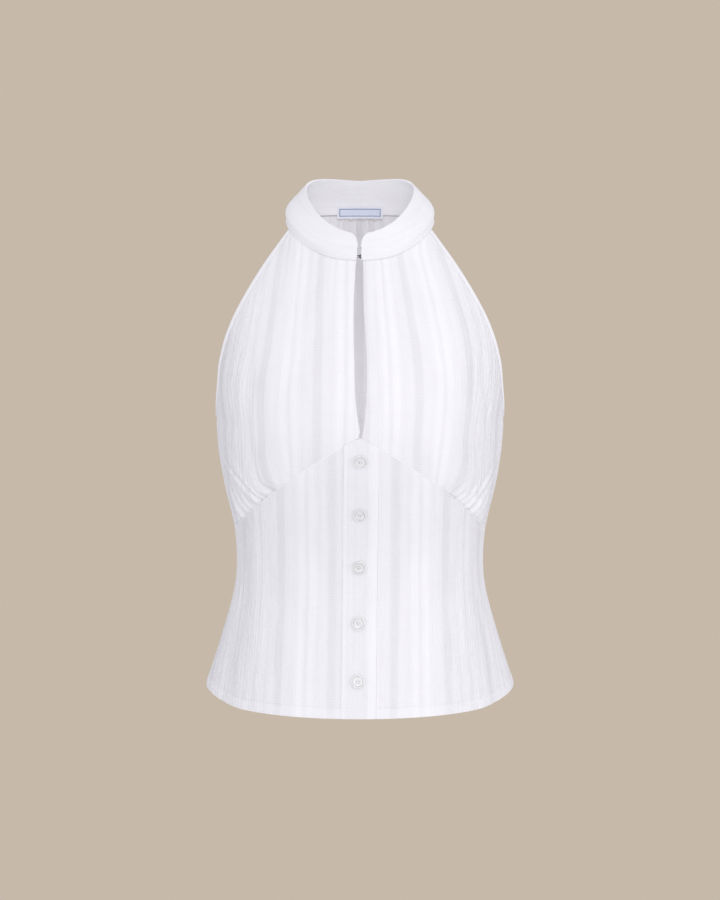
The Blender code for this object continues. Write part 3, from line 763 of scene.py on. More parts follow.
upperFront = {
    "grain": 1.3,
    "panelInset": 3.2,          # the armhole edge, tucked into its binding
    "sideShare": 0.36,          # how much of a panel's height is its side seam
    # where the openwork bands run: heights, and the arc of the first and second band
    "guides": {
        1: ((-30, 39, 85), (-70, 46, 97), (-110, 52.9, 108.5), (-155, 57.4, 112.5), (-205, 55, 107)),
        -1: ((-30, 37.3, 82), (-70, 39, 85.5), (-112, 39.7, 91.4), (-158, 41, 99.8),
             (-205, 41.2, 98)),
    },
    "bandPlace": {1: 57.0, -1: 41.0},
    # how far the cloth is drawn in along the seam by the gathers, by arc
    "drawnIn": ((0, 0), (60, 0), (75, 5), (88, 13), (100, 19), (118, 17), (140, 9), (172, 0)),
    "drawnHeight": 46.0,
    # gathers: the arc and the height above the seam of each one's course, its depth, and its
    # widths at the seam and at its end
    "gathers": {
        1: (
            (((72, 0), (78, 16), (82, 34)), -0.4, 2.6, 5.0),
            (((80, 0), (87, 14), (91, 30)), 0.4, 2.4, 4.6),
            (((86, 0), (92, 8), (97, 20)), -0.7, 1.7, 3.0),
            (((90, 0), (97, 9), (103, 20)), -1.3, 1.4, 2.4),
            (((93.5, 0), (101, 9), (109, 22)), 0.8, 1.5, 2.6),
            (((96.5, 0), (103, 8), (110, 17)), -1.5, 1.4, 2.4),
            (((99.6, 0), (110, 13), (121, 32)), 1.1, 1.6, 3.0),
            (((102.6, 0), (112, 13), (125, 36)), -1.7, 1.5, 3.2),
            (((105.4, 0), (117, 16), (136, 44)), 1.3, 1.5, 3.0),
            (((108, 0), (127, 24), (155, 62)), -2.3, 1.7, 3.6),
            (((111.4, 0), (130, 24), (158, 60)), 1.8, 1.7, 3.2),
            (((114.4, 0), (126, 16), (137, 33)), -1.5, 1.4, 2.6),
            (((117.6, 0), (137, 24), (166, 58)), -2.2, 1.9, 4.2),
            (((121.6, 0), (139, 22), (164, 50)), 1.3, 2.0, 3.4),
            (((126, 0), (141, 18), (158, 44)), -1.4, 1.9, 3.6),
            (((132, 0), (145, 16), (160, 38)), 0.9, 2.2, 3.6),
            (((138, 0), (149, 16), (160, 34)), -1.5, 2.3, 4.0),
            (((150, 0), (158, 12), (165, 26)), -0.9, 2.6, 4.0),
        ),
        -1: (
            (((70, 0), (77, 20), (80, 46)), -0.4, 3.0, 6.0),
            (((78, 0), (90, 18), (97, 50)), 0.6, 3.0, 7.0),
            (((85, 0), (103, 21), (112, 60), (114, 84)), -2.2, 2.6, 8.0),
            (((90, 0), (106, 15), (116, 34)), 0.9, 2.2, 4.0),
            (((94, 0), (106, 13), (113, 26)), -1.1, 1.6, 3.0),
            (((97, 0), (120, 27), (150, 72)), 1.4, 2.2, 8.0),
            (((100.5, 0), (127, 33), (165, 72)), -3.1, 2.3, 3.6),
            (((104, 0), (130, 32), (166, 68)), 1.5, 1.8, 3.0),
            (((109, 0), (120, 12), (129, 25)), -0.9, 1.6, 2.8),
            (((116, 0), (130, 16), (147, 40)), -1.0, 2.0, 4.0),
            (((121, 0), (136, 20), (154, 48)), 0.9, 2.2, 3.6),
            (((127, 0), (141, 20), (158, 52)), -2.6, 2.4, 4.0),
            (((132, 0), (145, 18), (160, 46)), 1.2, 2.0, 3.4),
            (((138, 0), (147, 13), (156, 30)), -1.9, 2.4, 4.0),
            (((150, 0), (156, 10), (162, 24)), -1.2, 2.6, 4.0),
        ),
    },
    # longer folds on the wearer's left and right, as creaseRise reads them
    "creases": {
        1: (
            (80, -15, 98, -96, -2, -1.1, 4.0, 9.0, 1),
            (66, -21, 82, -112, -2, 0.6, 4.0, 9.0, 1),
            (53, -26, 62, -100, -1, -0.55, 3.4, 8.0, 1),
            (40, -30, 52, -98, -1, 0.4, 3.4, 7.0, 1),
            (27, -33, 31, -86, 0, -0.3, 3.0, 7.0, 1),
            (92, -10, 116, -84, -2, 0.6, 3.6, 8.0, 1),
            (112, -112, 120, -236, 3, -1.3, 6.0, 9.0, 0),
            (98, -110, 98, -216, 2, 0.8, 7.0, 9.0, 0),
            (132, -140, 142, -240, 3, -1.0, 6.0, 8.0, 0),
            (122, -130, 131, -240, 3, 0.8, 6.0, 8.0, 0),
            (60, -120, 57, -214, 1, -0.5, 7.0, 9.0, 0),
        ),
        -1: (
            (-77, -16, -88, -104, 3, -1.3, 4.0, 9.5, 1),
            (-63, -22, -70, -112, 2, 0.65, 4.0, 9.0, 1),
            (-50, -27, -56, -98, 1, -0.6, 3.4, 8.0, 1),
            (-37, -31, -42, -110, 1, 0.4, 3.4, 7.0, 1),
            (-24, -34, -27, -84, 0, -0.3, 3.0, 7.0, 1),
            (-90, -10, -108, -86, 3, 0.7, 3.6, 8.0, 1),
            (-104, -118, -118, -236, -3, -1.3, 6.0, 9.0, 0),
            (-118, -128, -134, -240, -3, 0.9, 6.0, 9.0, 0),
            (-132, -140, -148, -240, -2, -1.0, 5.0, 8.0, 0),
            (-88, -120, -92, -224, -1, 0.7, 7.0, 9.0, 0),
            (-58, -120, -55, -212, 1, -0.4, 7.0, 9.0, 0),
        ),
    },
    "puff": 1.3,                # how far the cloth swells out over the gathered seam
    "puffHeight": 15.0,
    "drawnBend": 1.7,
    "pucker": 0.34,
    "puckerHeight": 8.0,
    "crepe": (0.30, 1.05, 78, 60),      # in the middle, at the side, where it begins, its reach
    "panelLength": 285,
    "backLength": 300,
    "sideLength": 112,
}


def shareAtSide(inset, part, under):
    # where the armhole's line meets the side seam
    target = sideSeam(part, clothing["upperSide"])
    low, high = 0.3, 0.7
    for _ in range(30):
        middle = (low + high) / 2
        if float(armholeLine(middle, inset, under)[0]) < target:
            low = middle
        else:
            high = middle
    return (low + high) / 2


def outerEdge(t, part):
    # a panel's edge up the side seam and then round the armhole
    inset, sideShare = upperFront["panelInset"], upperFront["sideShare"]
    under = clothing["underCollar"]
    start = shareAtSide(inset, part, under)
    share = mix(start, 0.0 if part < 0 else 1.0, (t - sideShare) / (1 - sideShare))
    angle, z = armholeLine(np.clip(share, 0, 1), inset, under)
    top = armholeLine(start, inset, under)[1]
    foot = bodyForm["seamSide"] - clothing["tuck"]
    onSide = t < sideShare
    return (np.where(onSide, sideSeam(part, clothing["upperSide"]), angle),
            np.where(onSide, mix(foot, top, t / sideShare), z))


def coonsPatch(bottom, top, lowSide, highSide, s, t):
    # s is a grid of shares across, t a column of shares up; an edge's height holds only near
    # it, so that the rows keep apart beyond the flat foot of an armhole
    b, h = bottom(s), top(s)
    low, high = lowSide(t), highSide(t)
    ends = [edge(share) for edge in (bottom, top) for share in (np.zeros(1), np.ones(1))]
    turned, lifted = ([float(np.ravel(e[k])[0]) for e in ends] for k in (0, 1))
    flat = mix(mix(turned[0], turned[1], s), mix(turned[2], turned[3], s), t)
    angle = mix(b[0], h[0], t) + mix(low[0], high[0], s) - flat
    nearLow = (1 - np.minimum(2 * s, 1)) ** 3
    nearHigh = (1 - np.minimum(2 * (1 - s), 1)) ** 3
    z = (mix(b[1], h[1], t) + (low[1] - mix(lifted[0], lifted[2], t)) * nearLow
         + (high[1] - mix(lifted[1], lifted[3], t)) * nearHigh)
    return angle, z


def panelRows(length, grain=None):
    # rows up a panel, close together at its foot and top
    sideShare, sideLength = upperFront["sideShare"], upperFront["sideLength"]
    side = sharesAcross([sideLength], grain, plainHigh=True)[0] * sideShare
    above = mix(sideShare, 1, sharesAcross([length - sideLength], plainLow=True)[0])
    return np.concatenate([side, above[1:]])


def rowWidths(edges, t, columns):
    # how wide a panel between those edges is at each of its rows
    rough = np.linspace(0, 1, columns)[None, :] * np.ones_like(t)
    return edgeDistances(bodyPoint(*coonsPatch(*edges, rough, t)))[0][:, -1]


def fabricAcross(side, arc, z):
    # the place across the striped cloth, which fans out from the collar
    heights, firsts, seconds = zip(*upperFront["guides"][side])
    within = np.clip(z, heights[-1], heights[0])
    first, second = curveThrough(heights, firsts, within), curveThrough(heights, seconds, within)
    away, bandPlace = np.abs(arc), upperFront["bandPlace"][side]
    inner = away / first * bandPlace
    outer = bandPlace + (away - first) / (second - first) * stripes["repeat"]
    return mix(inner, outer, smooth((away - first + 12) / 24)) - bandPlace


def drawnOut(arc, above):
    # where the cloth at a place near the gathered seam would lie if it weren't drawn in
    away = np.abs(arc)
    knots = np.array(upperFront["drawnIn"], float)
    pull = np.interp(away, knots[:, 0], knots[:, 1])
    left = np.clip(1 - above / upperFront["drawnHeight"], 0, 1)
    return away + pull * left ** upperFront["drawnBend"]


def gatherRise(angle, arc, z, side):
    above = np.maximum(z - bustSeam(angle), 0)
    turned = np.degrees(np.abs(angle))
    within = smooth((turned - 26) / 12) * smooth((90 - turned) / 10)
    height = above / upperFront["puffHeight"]
    rise = upperFront["puff"] * within * height * np.exp(1 - height)
    rise = rise + creaseRise(arc, z, upperFront["creases"][side])
    away = np.abs(arc)
    flat = drawnOut(arc, above)
    start = mix(0.45, 1.0, smooth(above / 4))
    for course, depth, narrow, wide in upperFront["gathers"][side]:
        places, heights = zip(*course)
        length = heights[-1]
        share = above / length
        line = curveThrough(heights, places, np.minimum(above, length * 1.4))
        lean = math.cos(math.atan2(places[-1] - places[0], length))
        aside = (away - line) * lean / mix(narrow, wide, np.clip(share, 0, 1.2))
        aside = aside / np.where(aside > 0, 1.2, 0.85)
        fold = bell(aside)
        if depth < 0:
            crisp = (1 - np.clip(np.abs(aside), 0, 1)) ** 1.5
            fold = mix(crisp, fold, 0.2 + 0.7 * np.clip(share, 0, 1))
        rise = rise + depth * fold * start * (1 - smooth((share - 0.35) / 0.8))
    # fine puckers where the gathers go into the seam
    fine = (np.sin(flat / 1.27 + 1.2 * np.sin(flat / 7.7)) * 0.6
            + np.sin(flat / 2.05 + side) * 0.5)
    strength = within * (0.75 + 0.25 * np.sin(arc / 9.0)) * smooth((away - 58) / 20)
    strength = strength * np.exp(-above / upperFront["puckerHeight"]) * smooth(above / 1.5)
    return rise + upperFront["pucker"] * fine * strength


def upperFrontPanel(side):
    slit = bodyForm["slit"]
    under = clothing["underCollar"]

    def slitEdge(t):
        z = mix(bodyForm["seamTip"] - tuckAt(0.0), loops[0, 0] - under, t)
        inSlit = np.maximum(z, bodyForm["seamTip"])
        centre = curveThrough(slit[:, 0], slit[:, 1], inSlit)
        width = curveThrough(slit[:, 0], slit[:, 2], inSlit)
        return np.abs(frontAngle(centre + side * width / 2, z)), z

    def farEdge(t):
        return outerEdge(t, -1)

    seamStart = float(slitEdge(np.zeros(1))[0][0])
    neckStart = float(slitEdge(np.ones(1))[0][0])
    neckEnd = float(farEdge(np.ones(1))[0][0])

    def bottomEdge(s):
        angle = mix(seamStart, math.pi / 2, s)
        z = bustSeam(angle)
        return angle, z - tuckAt(gatheredAt(arcAt(angle, z)))

    def topEdge(s):
        angle = mix(neckStart, neckEnd, s)
        return angle, neckSeam(angle) - under

    t = panelRows(upperFront["panelLength"], upperFront["grain"])[:, None]
    edges = bottomEdge, topEdge, slitEdge, farEdge
    widths = rowWidths(edges, t, 25)
    s = sharesAcross(widths, upperFront["grain"])
    angle, z = coonsPatch(*edges, s, t)
    if side < 0:
        angle, z = -angle[:, ::-1], z[:, ::-1]
    arc = arcAt(angle, z)
    left, right, bottom, top = edgeDistances(bodyPoint(angle, z))
    slitAway, sideAway = (left, right) if side > 0 else (right, left)
    onSide = t < upperFront["sideShare"] + 0.01
    calm = smooth(slitAway / 12) * smooth(sideAway / 10) * smooth(top / 14 + 0.15)
    rise = gatherRise(angle, arc, z, side) * smooth(slitAway / 8) * smooth(sideAway / 6)
    rise = rise * smooth(top / 5 + 0.3) + clothWaves(arc, z, 0.26) * calm
    gathered = gatheredAt(arcAt(angle[:1], z[:1]))
    rise = rise - tuckRoll(bottom, gathered) - np.where(onSide, seamRoll(sideAway), 0)
    flat = drawnOut(arc, np.maximum(z - bustSeam(angle), 0))
    fabric = np.stack([fabricAcross(side, flat, z), z], -1)
    name = sideName("upper_front", side)
    points = onBody(angle, z, rise)
    made = gridCloth(name + "_cloth", points, fabric, stripedCotton,
                     crinkle=crepeAt(arc, *upperFront["crepe"]))
    finishPiece(made, (name,))
    stateSheet(points, float(widths.max()) * mm, float(np.max(top)) * mm)


for side in (1, -1):
    upperFrontPanel(side)
print("upper fronts laid")

# the lower fronts, the button band and the lower back

lowerPart = {
    "hemHeight": 10.0,
    "hemWall": 1.7,
    "hemGroove": 0.30,
    "hemRoll": 0.22,
    "hemDoubled": 0.42,
    "hemRows": (0, 0.3, 0.8, 1.6, 2.8, 4.4, 6.0, 7.4, 8.4, 9.1, 9.6, 10.0, 10.4, 10.9, 11.6, 12.6),
    "frontLength": 225.0,
    "backLength": 169.0,
    "bandHalf": 17.0,
    "seamEdge": (0.32, 0.38),    # how far the seam's edge stands up, plain and over gathers
    "backSeamEdge": 0.30,
    "crepe": (0.35, 1.0, 60, 60),
    # how the front on the wearer's right steps down and runs on under the band
    "lapStart": 26.0,
    "lapReach": 15.0,
    "lapStep": 9.0,
    "lapSink": 0.55,
    "creases": {
        1: (
            (121, -300, 147, -474, 2, -1.6, 6.0, 10.0, 0),
            (133, -330, 166, -474, 0, 1.1, 6.0, 11.0, 0),
            (104, -330, 118, -474, 1, 0.8, 8.0, 12.0, 0),
            (72, -474, 66, -380, 1, 0.7, 10.0, 8.0, 1),
            (150, -474, 138, -360, 0, -0.8, 9.0, 6.0, 1),
            (92, -474, 88, -390, 0, -0.6, 10.0, 7.0, 1),
            (80, -252, 84, -300, 1, -0.35, 3.0, 6.0, 1),
            (112, -272, 112, -316, 1, -0.45, 3.0, 6.0, 1),
        ),
        -1: (
            (-123, -306, -132, -474, -1, -1.5, 6.0, 10.0, 0),
            (-136, -330, -158, -474, 0, 1.0, 6.0, 11.0, 0),
            (-106, -340, -112, -474, 0, 0.8, 8.0, 12.0, 0),
            (-66, -474, -62, -372, 1, 0.7, 10.0, 8.0, 1),
            (-152, -474, -142, -372, 0, -0.8, 9.0, 6.0, 1),
            (-86, -474, -84, -396, 0, -0.55, 10.0, 7.0, 1),
            (-84, -256, -86, -300, 1, -0.35, 3.0, 6.0, 1),
            (-108, -270, -110, -314, 1, -0.45, 3.0, 6.0, 1),
        ),
    },
    "bandPlace": {1: 34.3, -1: 26.6},
    # how far the stripes fan out towards the hem, by arc
    "fan": {
        1: ((18, 0.0), (34, -2.0), (88, 4.0), (150, 7.0)),
        -1: ((18, 0.0), (28, 2.0), (80, 5.0), (150, 8.0)),
    },
}


def offsetLine(offset, t):
    # the angle and height beside the band's centre line, from the hem to the bust seam
    start = frontAngle(bandCentre(np.array(bodyForm["seamTip"])) + offset, bodyForm["seamTip"])
    z = mix(hemLine(start), bustSeam(start) + clothing["seamGap"], t)
    return frontAngle(bandCentre(z) + offset, z), z


def lowerRows(length):
    # rows from the hem up, with close ones at the hem's stitching
    low = lowerPart["hemRows"]
    rest = sharesAcross([length - low[-1]], plainLow=True)[0] * (length - low[-1]) + low[-1]
    return np.concatenate([low, rest[1:]]) / length


def hemShape(away):
    # the groove of the hem's stitching and the slight roll of its fold
    height = lowerPart["hemHeight"]
    groove = lowerPart["hemGroove"] * bell((away - height) / 1.3)
    return -groove + lowerPart["hemRoll"] * smooth(away / 3) * smooth((height - away) / 3)


def doubledAt(fromHem, fromSeam):
    # how much the turned-up cloth of the hem and the narrow edge of the seam show through
    hem = lowerPart["hemDoubled"] * smooth((lowerPart["hemHeight"] + 1.5 - fromHem) / 5)
    return np.maximum(hem, 1 - smooth((fromSeam - 0.6) / 1.4))


def hemWall(away):
    return np.where(away < lowerPart["hemHeight"] - 0.3, lowerPart["hemWall"], clothing["wall"])


def panelAndHem(name, points, fabric, crinkle, bottom, top, width):
    # a lower panel with its turned-up hem
    made = gridCloth(name + "_cloth", points, fabric, stripedCotton, wall=lowerPart["hemWall"],
                     thick=hemWall(bottom), crinkle=crinkle, doubled=doubledAt(bottom, top))
    finishPiece(made, (name,))
    stateSheet(points, float(np.max(width)) * mm, float(np.max(bottom)) * mm)


def lowerFrontPanel(side):
    rows = lowerRows(lowerPart["frontLength"])
    inner = lowerPart["bandHalf"] + clothing["seamGap"] / 2 if side > 0 else -lowerPart["lapStart"]
    beside, besideZ = offsetLine(inner, rows)
    outer = side * sideSeam(-1, clothing["lowerSide"])
    widths = np.abs(arcAt(np.full(rows.shape, outer), besideZ) - arcAt(beside, besideZ))
    s = sharesAcross(widths, plainHigh=side < 0)
    t = rows[:, None]
    if side > 0:
        angle = mix(beside[:, None], outer, s)
    else:
        angle = mix(outer, beside[:, None], s)
    z = mix(hemLine(angle), bustSeam(angle) + clothing["seamGap"], t)
    sink = np.zeros(angle.shape)
    if side < 0:
        # the part that steps down and runs on under the band
        lapStart = lowerPart["lapStart"]
        offsets = np.linspace(-lapStart, lowerPart["lapReach"], 26)[1:]
        lapAngle, lapZ = offsetLine(offsets[None, :], t)
        lapSink = lowerPart["lapSink"] * smooth((offsets + lapStart) / lowerPart["lapStep"])
        angle, z = np.hstack([angle, lapAngle]), np.hstack([z, lapZ])
        sink = np.hstack([sink, lapSink[None, :] * np.ones_like(t)])
    arc = arcAt(angle, z)
    left, right, bottom, top = edgeDistances(bodyPoint(angle, z))
    sideAway, bandAway = (right, left) if side > 0 else (left, right)
    calm = smooth(top / 10) * smooth(sideAway / 10) * (smooth(bandAway / 16) if side > 0 else 1)
    rise = creaseRise(arc, z, lowerPart["creases"][side]) * smooth(sideAway / 6)
    rise = rise + clothWaves(arc, z, 0.16) * calm + hemShape(bottom)
    # the seam's edge stands up a little over the gathers
    edge = mix(*lowerPart["seamEdge"], gatheredAt(arc[-1:]))
    rise = rise + edge * (1 - smooth((top - 0.5) / 1.8)) - seamRoll(sideAway)
    if side > 0:
        rise = rise - seamRoll(bandAway, 0.12)
    rise = rise - sink
    fan = np.array(lowerPart["fan"][side])
    across = np.abs(arc) - np.interp(np.abs(arc), fan[:, 0], fan[:, 1]) * smooth((-z - 330) / 160)
    across = across - lowerPart["bandPlace"][side]
    fabric = np.stack([across, z], -1)
    panelAndHem(sideName("lower_front", side), onBody(angle, z, rise), fabric,
                crepeAt(arc, *lowerPart["crepe"]), bottom, top, left)


for side in (1, -1):
    lowerFrontPanel(side)

band = {
    "firstButton": -219.0,
    "buttonStep": 55.0,
    "wall": 0.95,
    "rise": 0.72,
    "grain": 1.4,
    "bevel": 0.34,
    "seamDip": 0.20,         # where the band is sewn on, and at its pressed edge
    "edgeRoll": 0.40,
    "topLift": 0.12,
    "swell": 0.20,           # the waves between the buttons
    "fold": 0.10,
    "place": 26.0,
}


def buttonBand():
    t = lowerRows(lowerPart["frontLength"])[:, None]
    half = lowerPart["bandHalf"]
    shares = sharesAcross([2 * half], band["grain"])[0]
    offsets = (shares * 2 - 1) * (half - clothing["seamGap"] / 2)
    angle, z = offsetLine(offsets[None, :], t)
    left, right, bottom, top = edgeDistances(bodyPoint(angle, z))
    arc = arcAt(angle, z)
    # a pressed edge on the wearer's right, a seam on the left, and slight waves between buttons
    rise = band["rise"] * (1 - smooth(1 - right / 5))
    rise = rise - band["seamDip"] * (1 - smooth(left / 0.8)) - seamRoll(right, band["edgeRoll"])
    rise = rise + band["topLift"] * (1 - smooth((top - 0.6) / 2.2)) + hemShape(bottom) * 0.7
    phase = (z - band["firstButton"]) / band["buttonStep"] * 2 * math.pi
    dimple = (1 - np.cos(phase)) / 2 - 0.5
    rise = rise + band["swell"] * dimple * smooth(left / 6) * smooth(right / 6) * smooth(top / 12)
    rise = rise + clothWaves(arc * 1.6 + 40, z * 1.3, 0.14) * smooth(top / 8) * smooth(bottom / 12)
    # the fold line of the facing, a soft ridge beside the stitching
    rise = rise - band["fold"] * bell((right - 3.2) / 1.2)
    fabric = np.stack([band["place"] + offsets[None, :] * np.ones_like(t), z], -1)
    made = gridCloth("button_band_cloth", onBody(angle, z, rise), fabric, bandCotton,
                     wall=band["wall"], bevel=band["bevel"])
    finishPiece(made, ("button_band",))


buttonBand()

lowerBackPart = {
    # soft pleats up from the hem: arc, lean, depth and width
    "pleats": (
        (-150, -8, -1.1, 9), (-126, -6, 1.0, 11), (-96, -6, -1.5, 11), (-66, -4, 1.2, 12),
        (-38, -1, -1.1, 10), (-9, 2, 1.1, 12), (24, 0, -1.3, 11), (55, 4, 1.1, 12),
        (84, 4, -1.5, 11), (112, 8, 1.0, 11), (141, 7, -1.0, 9),
    ),
    "creases": (
        (-70, -305, -60, -352, 1, -0.6, 5, 9, 1), (44, -305, 38, -356, 1, -0.6, 5, 9, 1),
        (-20, -305, -16, -344, 1, 0.5, 5, 8, 1), (96, -305, 90, -348, 1, 0.5, 5, 8, 1),
    ),
    "crepe": (0.4, 1.0, 70, 80),
}


def lowerBack():
    rows = lowerRows(lowerPart["backLength"])
    start = sideSeam(1, clothing["lowerSide"])
    z = mix(bodyForm["hem"], bodyForm["seamSide"] + clothing["seamGap"], rows)
    half = np.abs(backArc(np.full(z.shape, start), z))
    s = sharesAcross(2 * half, clothing["backGrain"])
    angle = mix(start, 2 * math.pi - start, s)
    z = mix(hemLine(angle), bodyForm["seamSide"] + clothing["seamGap"], rows[:, None])
    arc = backArc(angle, z)
    left, right, bottom, top = edgeDistances(bodyPoint(angle, z))
    creases = list(lowerBackPart["creases"])
    for place, lean, depth, width in lowerBackPart["pleats"]:
        end = place * 0.86 - lean
        creases.append((place, -474, end, -352, lean / 3, depth, width, width * 0.55, 1))
    edge = np.minimum(left, right)
    rise = creaseRise(arc, z, creases) * smooth(edge / 6)
    rise = rise + clothWaves(arc + 90, z, 0.2) * smooth(edge / 10) * smooth(top / 10)
    seamEdge = lowerPart["backSeamEdge"] * (1 - smooth((top - 0.6) / 2.2))
    rise = rise + hemShape(bottom) + seamEdge - seamRoll(edge)
    panelAndHem("lower_back", onBody(angle, z, rise), np.stack([arc, z], -1),
                crepeAt(arc, *lowerBackPart["crepe"]), bottom, top, left)


lowerBack()
print("lower part laid")

# the upper back

upperBackPart = {
    "creases": (                 # arc from the centre back, the wearer's right is positive
        (-3, -2, -5, -52, 1, 1.9, 1.8, 4.0, 1), (3, -2, 5, -40, -1, -2.0, 1.7, 3.6, 1),
        (9, -2, 13, -50, -1, 1.7, 1.8, 4.0, 1), (15, -2, 21, -38, -1, -1.8, 1.8, 3.6, 1),
        (-9, -2, -13, -38, 1, -2.0, 1.7, 3.6, 1), (-16, -2, -23, -50, 1, 1.6, 1.9, 4.0, 1),
        (20, -2, 28, -66, -1, 0.9, 2.8, 8.0, 1),
        (-22, -2, -30, -74, 1, 0.8, 3.2, 9.0, 1), (24, -3, 34, -84, 0, -0.8, 3.0, 9.0, 1),
        (-36, -4, -50, -96, 2, -0.9, 3.6, 10.0, 1), (40, -5, 56, -90, -2, 0.8, 3.6, 10.0, 1),
        (-54, -6, -74, -92, 2, 0.7, 4.0, 9.0, 1), (58, -7, 80, -100, -2, -0.8, 4.0, 10.0, 1),
        (-118, -196, -58, -214, 4, -1.0, 5.0, 11.0, 0), (120, -198, 60, -220, -4, -1.0, 5.0, 11.0, 0),
        (-122, -232, -70, -262, 3, 0.9, 5.0, 11.0, 0), (124, -236, 66, -258, -3, 0.8, 5.0, 11.0, 0),
        (-60, -304, -66, -236, 2, -0.8, 3.0, 10.0, 1), (-28, -304, -26, -250, 1, 0.7, 3.0, 9.0, 1),
        (8, -304, 10, -232, 1, -0.7, 3.0, 10.0, 1), (42, -304, 40, -246, -1, 0.7, 3.0, 9.0, 1),
        (74, -304, 80, -240, -2, -0.8, 3.0, 10.0, 1), (-92, -304, -98, -252, 2, 0.6, 3.0, 9.0, 1),
    ),
    "crepe": (0.4, 1.0, 70, 80),
    "seamShade": 0.45,           # painted shade in the hollow under the collar's seam
    "labelShade": 0.26,          # and the painted shade under the label, its half width and its height
    "labelShadeHalf": 22.5,
    "labelShadeHeight": -5.1,
}


def upperBack():
    def leftSide(t):
        return outerEdge(t, 1)

    def rightSide(t):
        angle, z = leftSide(t)
        return 2 * math.pi - angle, z

    footStart = float(leftSide(np.zeros(1))[0][0])
    topStart = float(leftSide(np.ones(1))[0][0])

    def bottomEdge(s):
        foot = bodyForm["seamSide"] - clothing["tuck"]
        return mix(footStart, 2 * math.pi - footStart, s), np.full(s.shape, foot)

    def topEdge(s):
        top = loops[0, 1] - clothing["underCollar"]
        return mix(topStart, 2 * math.pi - topStart, s), np.full(s.shape, top)

    t = panelRows(upperFront["backLength"])[:, None]
    edges = bottomEdge, topEdge, leftSide, rightSide
    widths = rowWidths(edges, t, 41)
    s = sharesAcross(widths, clothing["backGrain"])
    angle, z = coonsPatch(*edges, s, t)
    arc = backArc(angle, z)
    left, right, bottom, top = edgeDistances(bodyPoint(angle, z))
    edge = np.minimum(left, right)
    rise = creaseRise(-arc, z, upperBackPart["creases"]) * smooth(edge / 10) * smooth(top / 4 + 0.3)
    rise = rise + clothWaves(arc - 60, z, 0.22) * smooth(edge / 12) * smooth(top / 12)
    onSide = t < upperFront["sideShare"] + 0.01
    rise = rise - tuckRoll(bottom, 1 - 0.7 * smooth(edge / 30))
    rise = rise - np.where(onSide, seamRoll(edge), 0)
    fabric = np.stack([arc / mix(0.88, 1.0, smooth(-z / 150)), z], -1)
    points = onBody(angle, z, rise)
    # painted shade: the cloth is darkened just under the collar's seam and under the label
    underLabel = 1 - smooth((np.abs(arc) - upperBackPart["labelShadeHalf"]) / 1.5)
    underLabel = underLabel * bell((z - upperBackPart["labelShadeHeight"]) / 2.4)
    shaded = np.maximum(upperBackPart["seamShade"] * (1 - smooth((top - 0.8) / 1.2)),
                        upperBackPart["labelShade"] * underLabel)
    made = gridCloth("upper_back_cloth", points, fabric, stripedCotton,
                     crinkle=crepeAt(arc, *upperBackPart["crepe"]), shaded=shaded)
    finishPiece(made, ("upper_back",))
    stateSheet(points, float(widths.max()) * mm, float(np.max(top)) * mm)


upperBack()
print("upper back laid")

# the narrow folded binding round each armhole

binding = {
    "width": 4.6,
    "turn": 0.9,             # the radius at the armhole's edge
    "rise": 0.26,
    "crown": 0.16,
    "seamDip": 0.3,
    "innerCrown": 0.15,
    "inside": -1.25,
    "wall": 0.45,
    "bevel": 0.12,
    "under": 0.4,            # how far its ends stay below the collar's seam
    "ripple": 0.06,
    "wave": 0.04,
    "stitchInset": 3.9,
    "stitchRise": 0.32,
}


def bindingSection():
    # inset from the edge and rise, from the outer side round the edge to the inner side
    width, turn, top, low = (binding[k] for k in ("width", "turn", "rise", "inside"))

    def crown(k):
        return 4 * k * (1 - k)

    outer = [(mix(width, turn, k),
              top + binding["crown"] * crown(k) - binding["seamDip"] * (1 - smooth(k / 0.15)))
             for k in np.linspace(0, 1, 10)]
    middle, radius = (top + low) / 2, (top - low) / 2
    fold = [(turn - turn * math.cos(a), middle + radius * math.sin(a))
            for a in np.radians(np.linspace(70, -70, 9))]
    inner = [(mix(turn, width, k), low - binding["innerCrown"] * crown(k))
             for k in np.linspace(0, 1, 8)]
    return np.array(outer + fold + inner)


def armholeBinding(side):
    section = bindingSection()
    share = np.linspace(0, 1, 331)[:, None]
    inset = section[None, :, 0] * np.ones_like(share)
    angle, z = armholeLine(share * np.ones_like(inset), inset, binding["under"])
    rise = section[None, :, 1] * np.ones_like(share)
    rise = rise + binding["ripple"] * np.sin(share * 640) * bell((inset - 3.4) / 2.4)
    rise = rise + binding["wave"] * np.sin(share * 97 + 1)
    points = onBody(angle, z, rise)
    along = np.linalg.norm(np.diff(points[:, 0], axis=0), axis=1)
    places = np.concatenate([[0], np.cumsum(along)])[:, None]
    around = np.concatenate([[0], np.cumsum(np.linalg.norm(np.diff(section, axis=0), axis=1))])
    fabric = np.stack([around[None, :] * np.ones_like(share), places * np.ones_like(inset)], -1)
    if side < 0:
        points = points * np.array([-1, 1, 1])
    # the rows run down the front of the armhole, so the outer side faces out one way only
    if side > 0:
        points, fabric = points[:, ::-1], fabric[:, ::-1]
    name = sideName("armhole_binding", side)
    made = gridCloth(name + "_cloth", points[::-1], fabric[::-1], plainCotton,
                     wall=binding["wall"], bevel=binding["bevel"])
    finishPiece(made, (name,))
    stateSheet(points, float(around[-1]) * mm, float(places[-1, 0]) * mm)
    line = np.linspace(0.004, 0.996, 600)
    lineAngle, lineZ = armholeLine(line, np.full(line.shape, binding["stitchInset"]), binding["under"])
    stitchPoints = onBody(lineAngle, lineZ, np.full(line.shape, binding["stitchRise"]))
    normals = bodyNormal(lineAngle, lineZ)
    if side < 0:
        stitchPoints, normals = stitchPoints * [-1, 1, 1], normals * [-1, 1, 1]
    return stitchPoints, normals


bindingLines = [armholeBinding(side) for side in (1, -1)]
stitchMesh("armhole_stitching", bindingLines, pitch=2.3, long=1.7, thick=0.26)
print("armholes bound")

# the stand collar

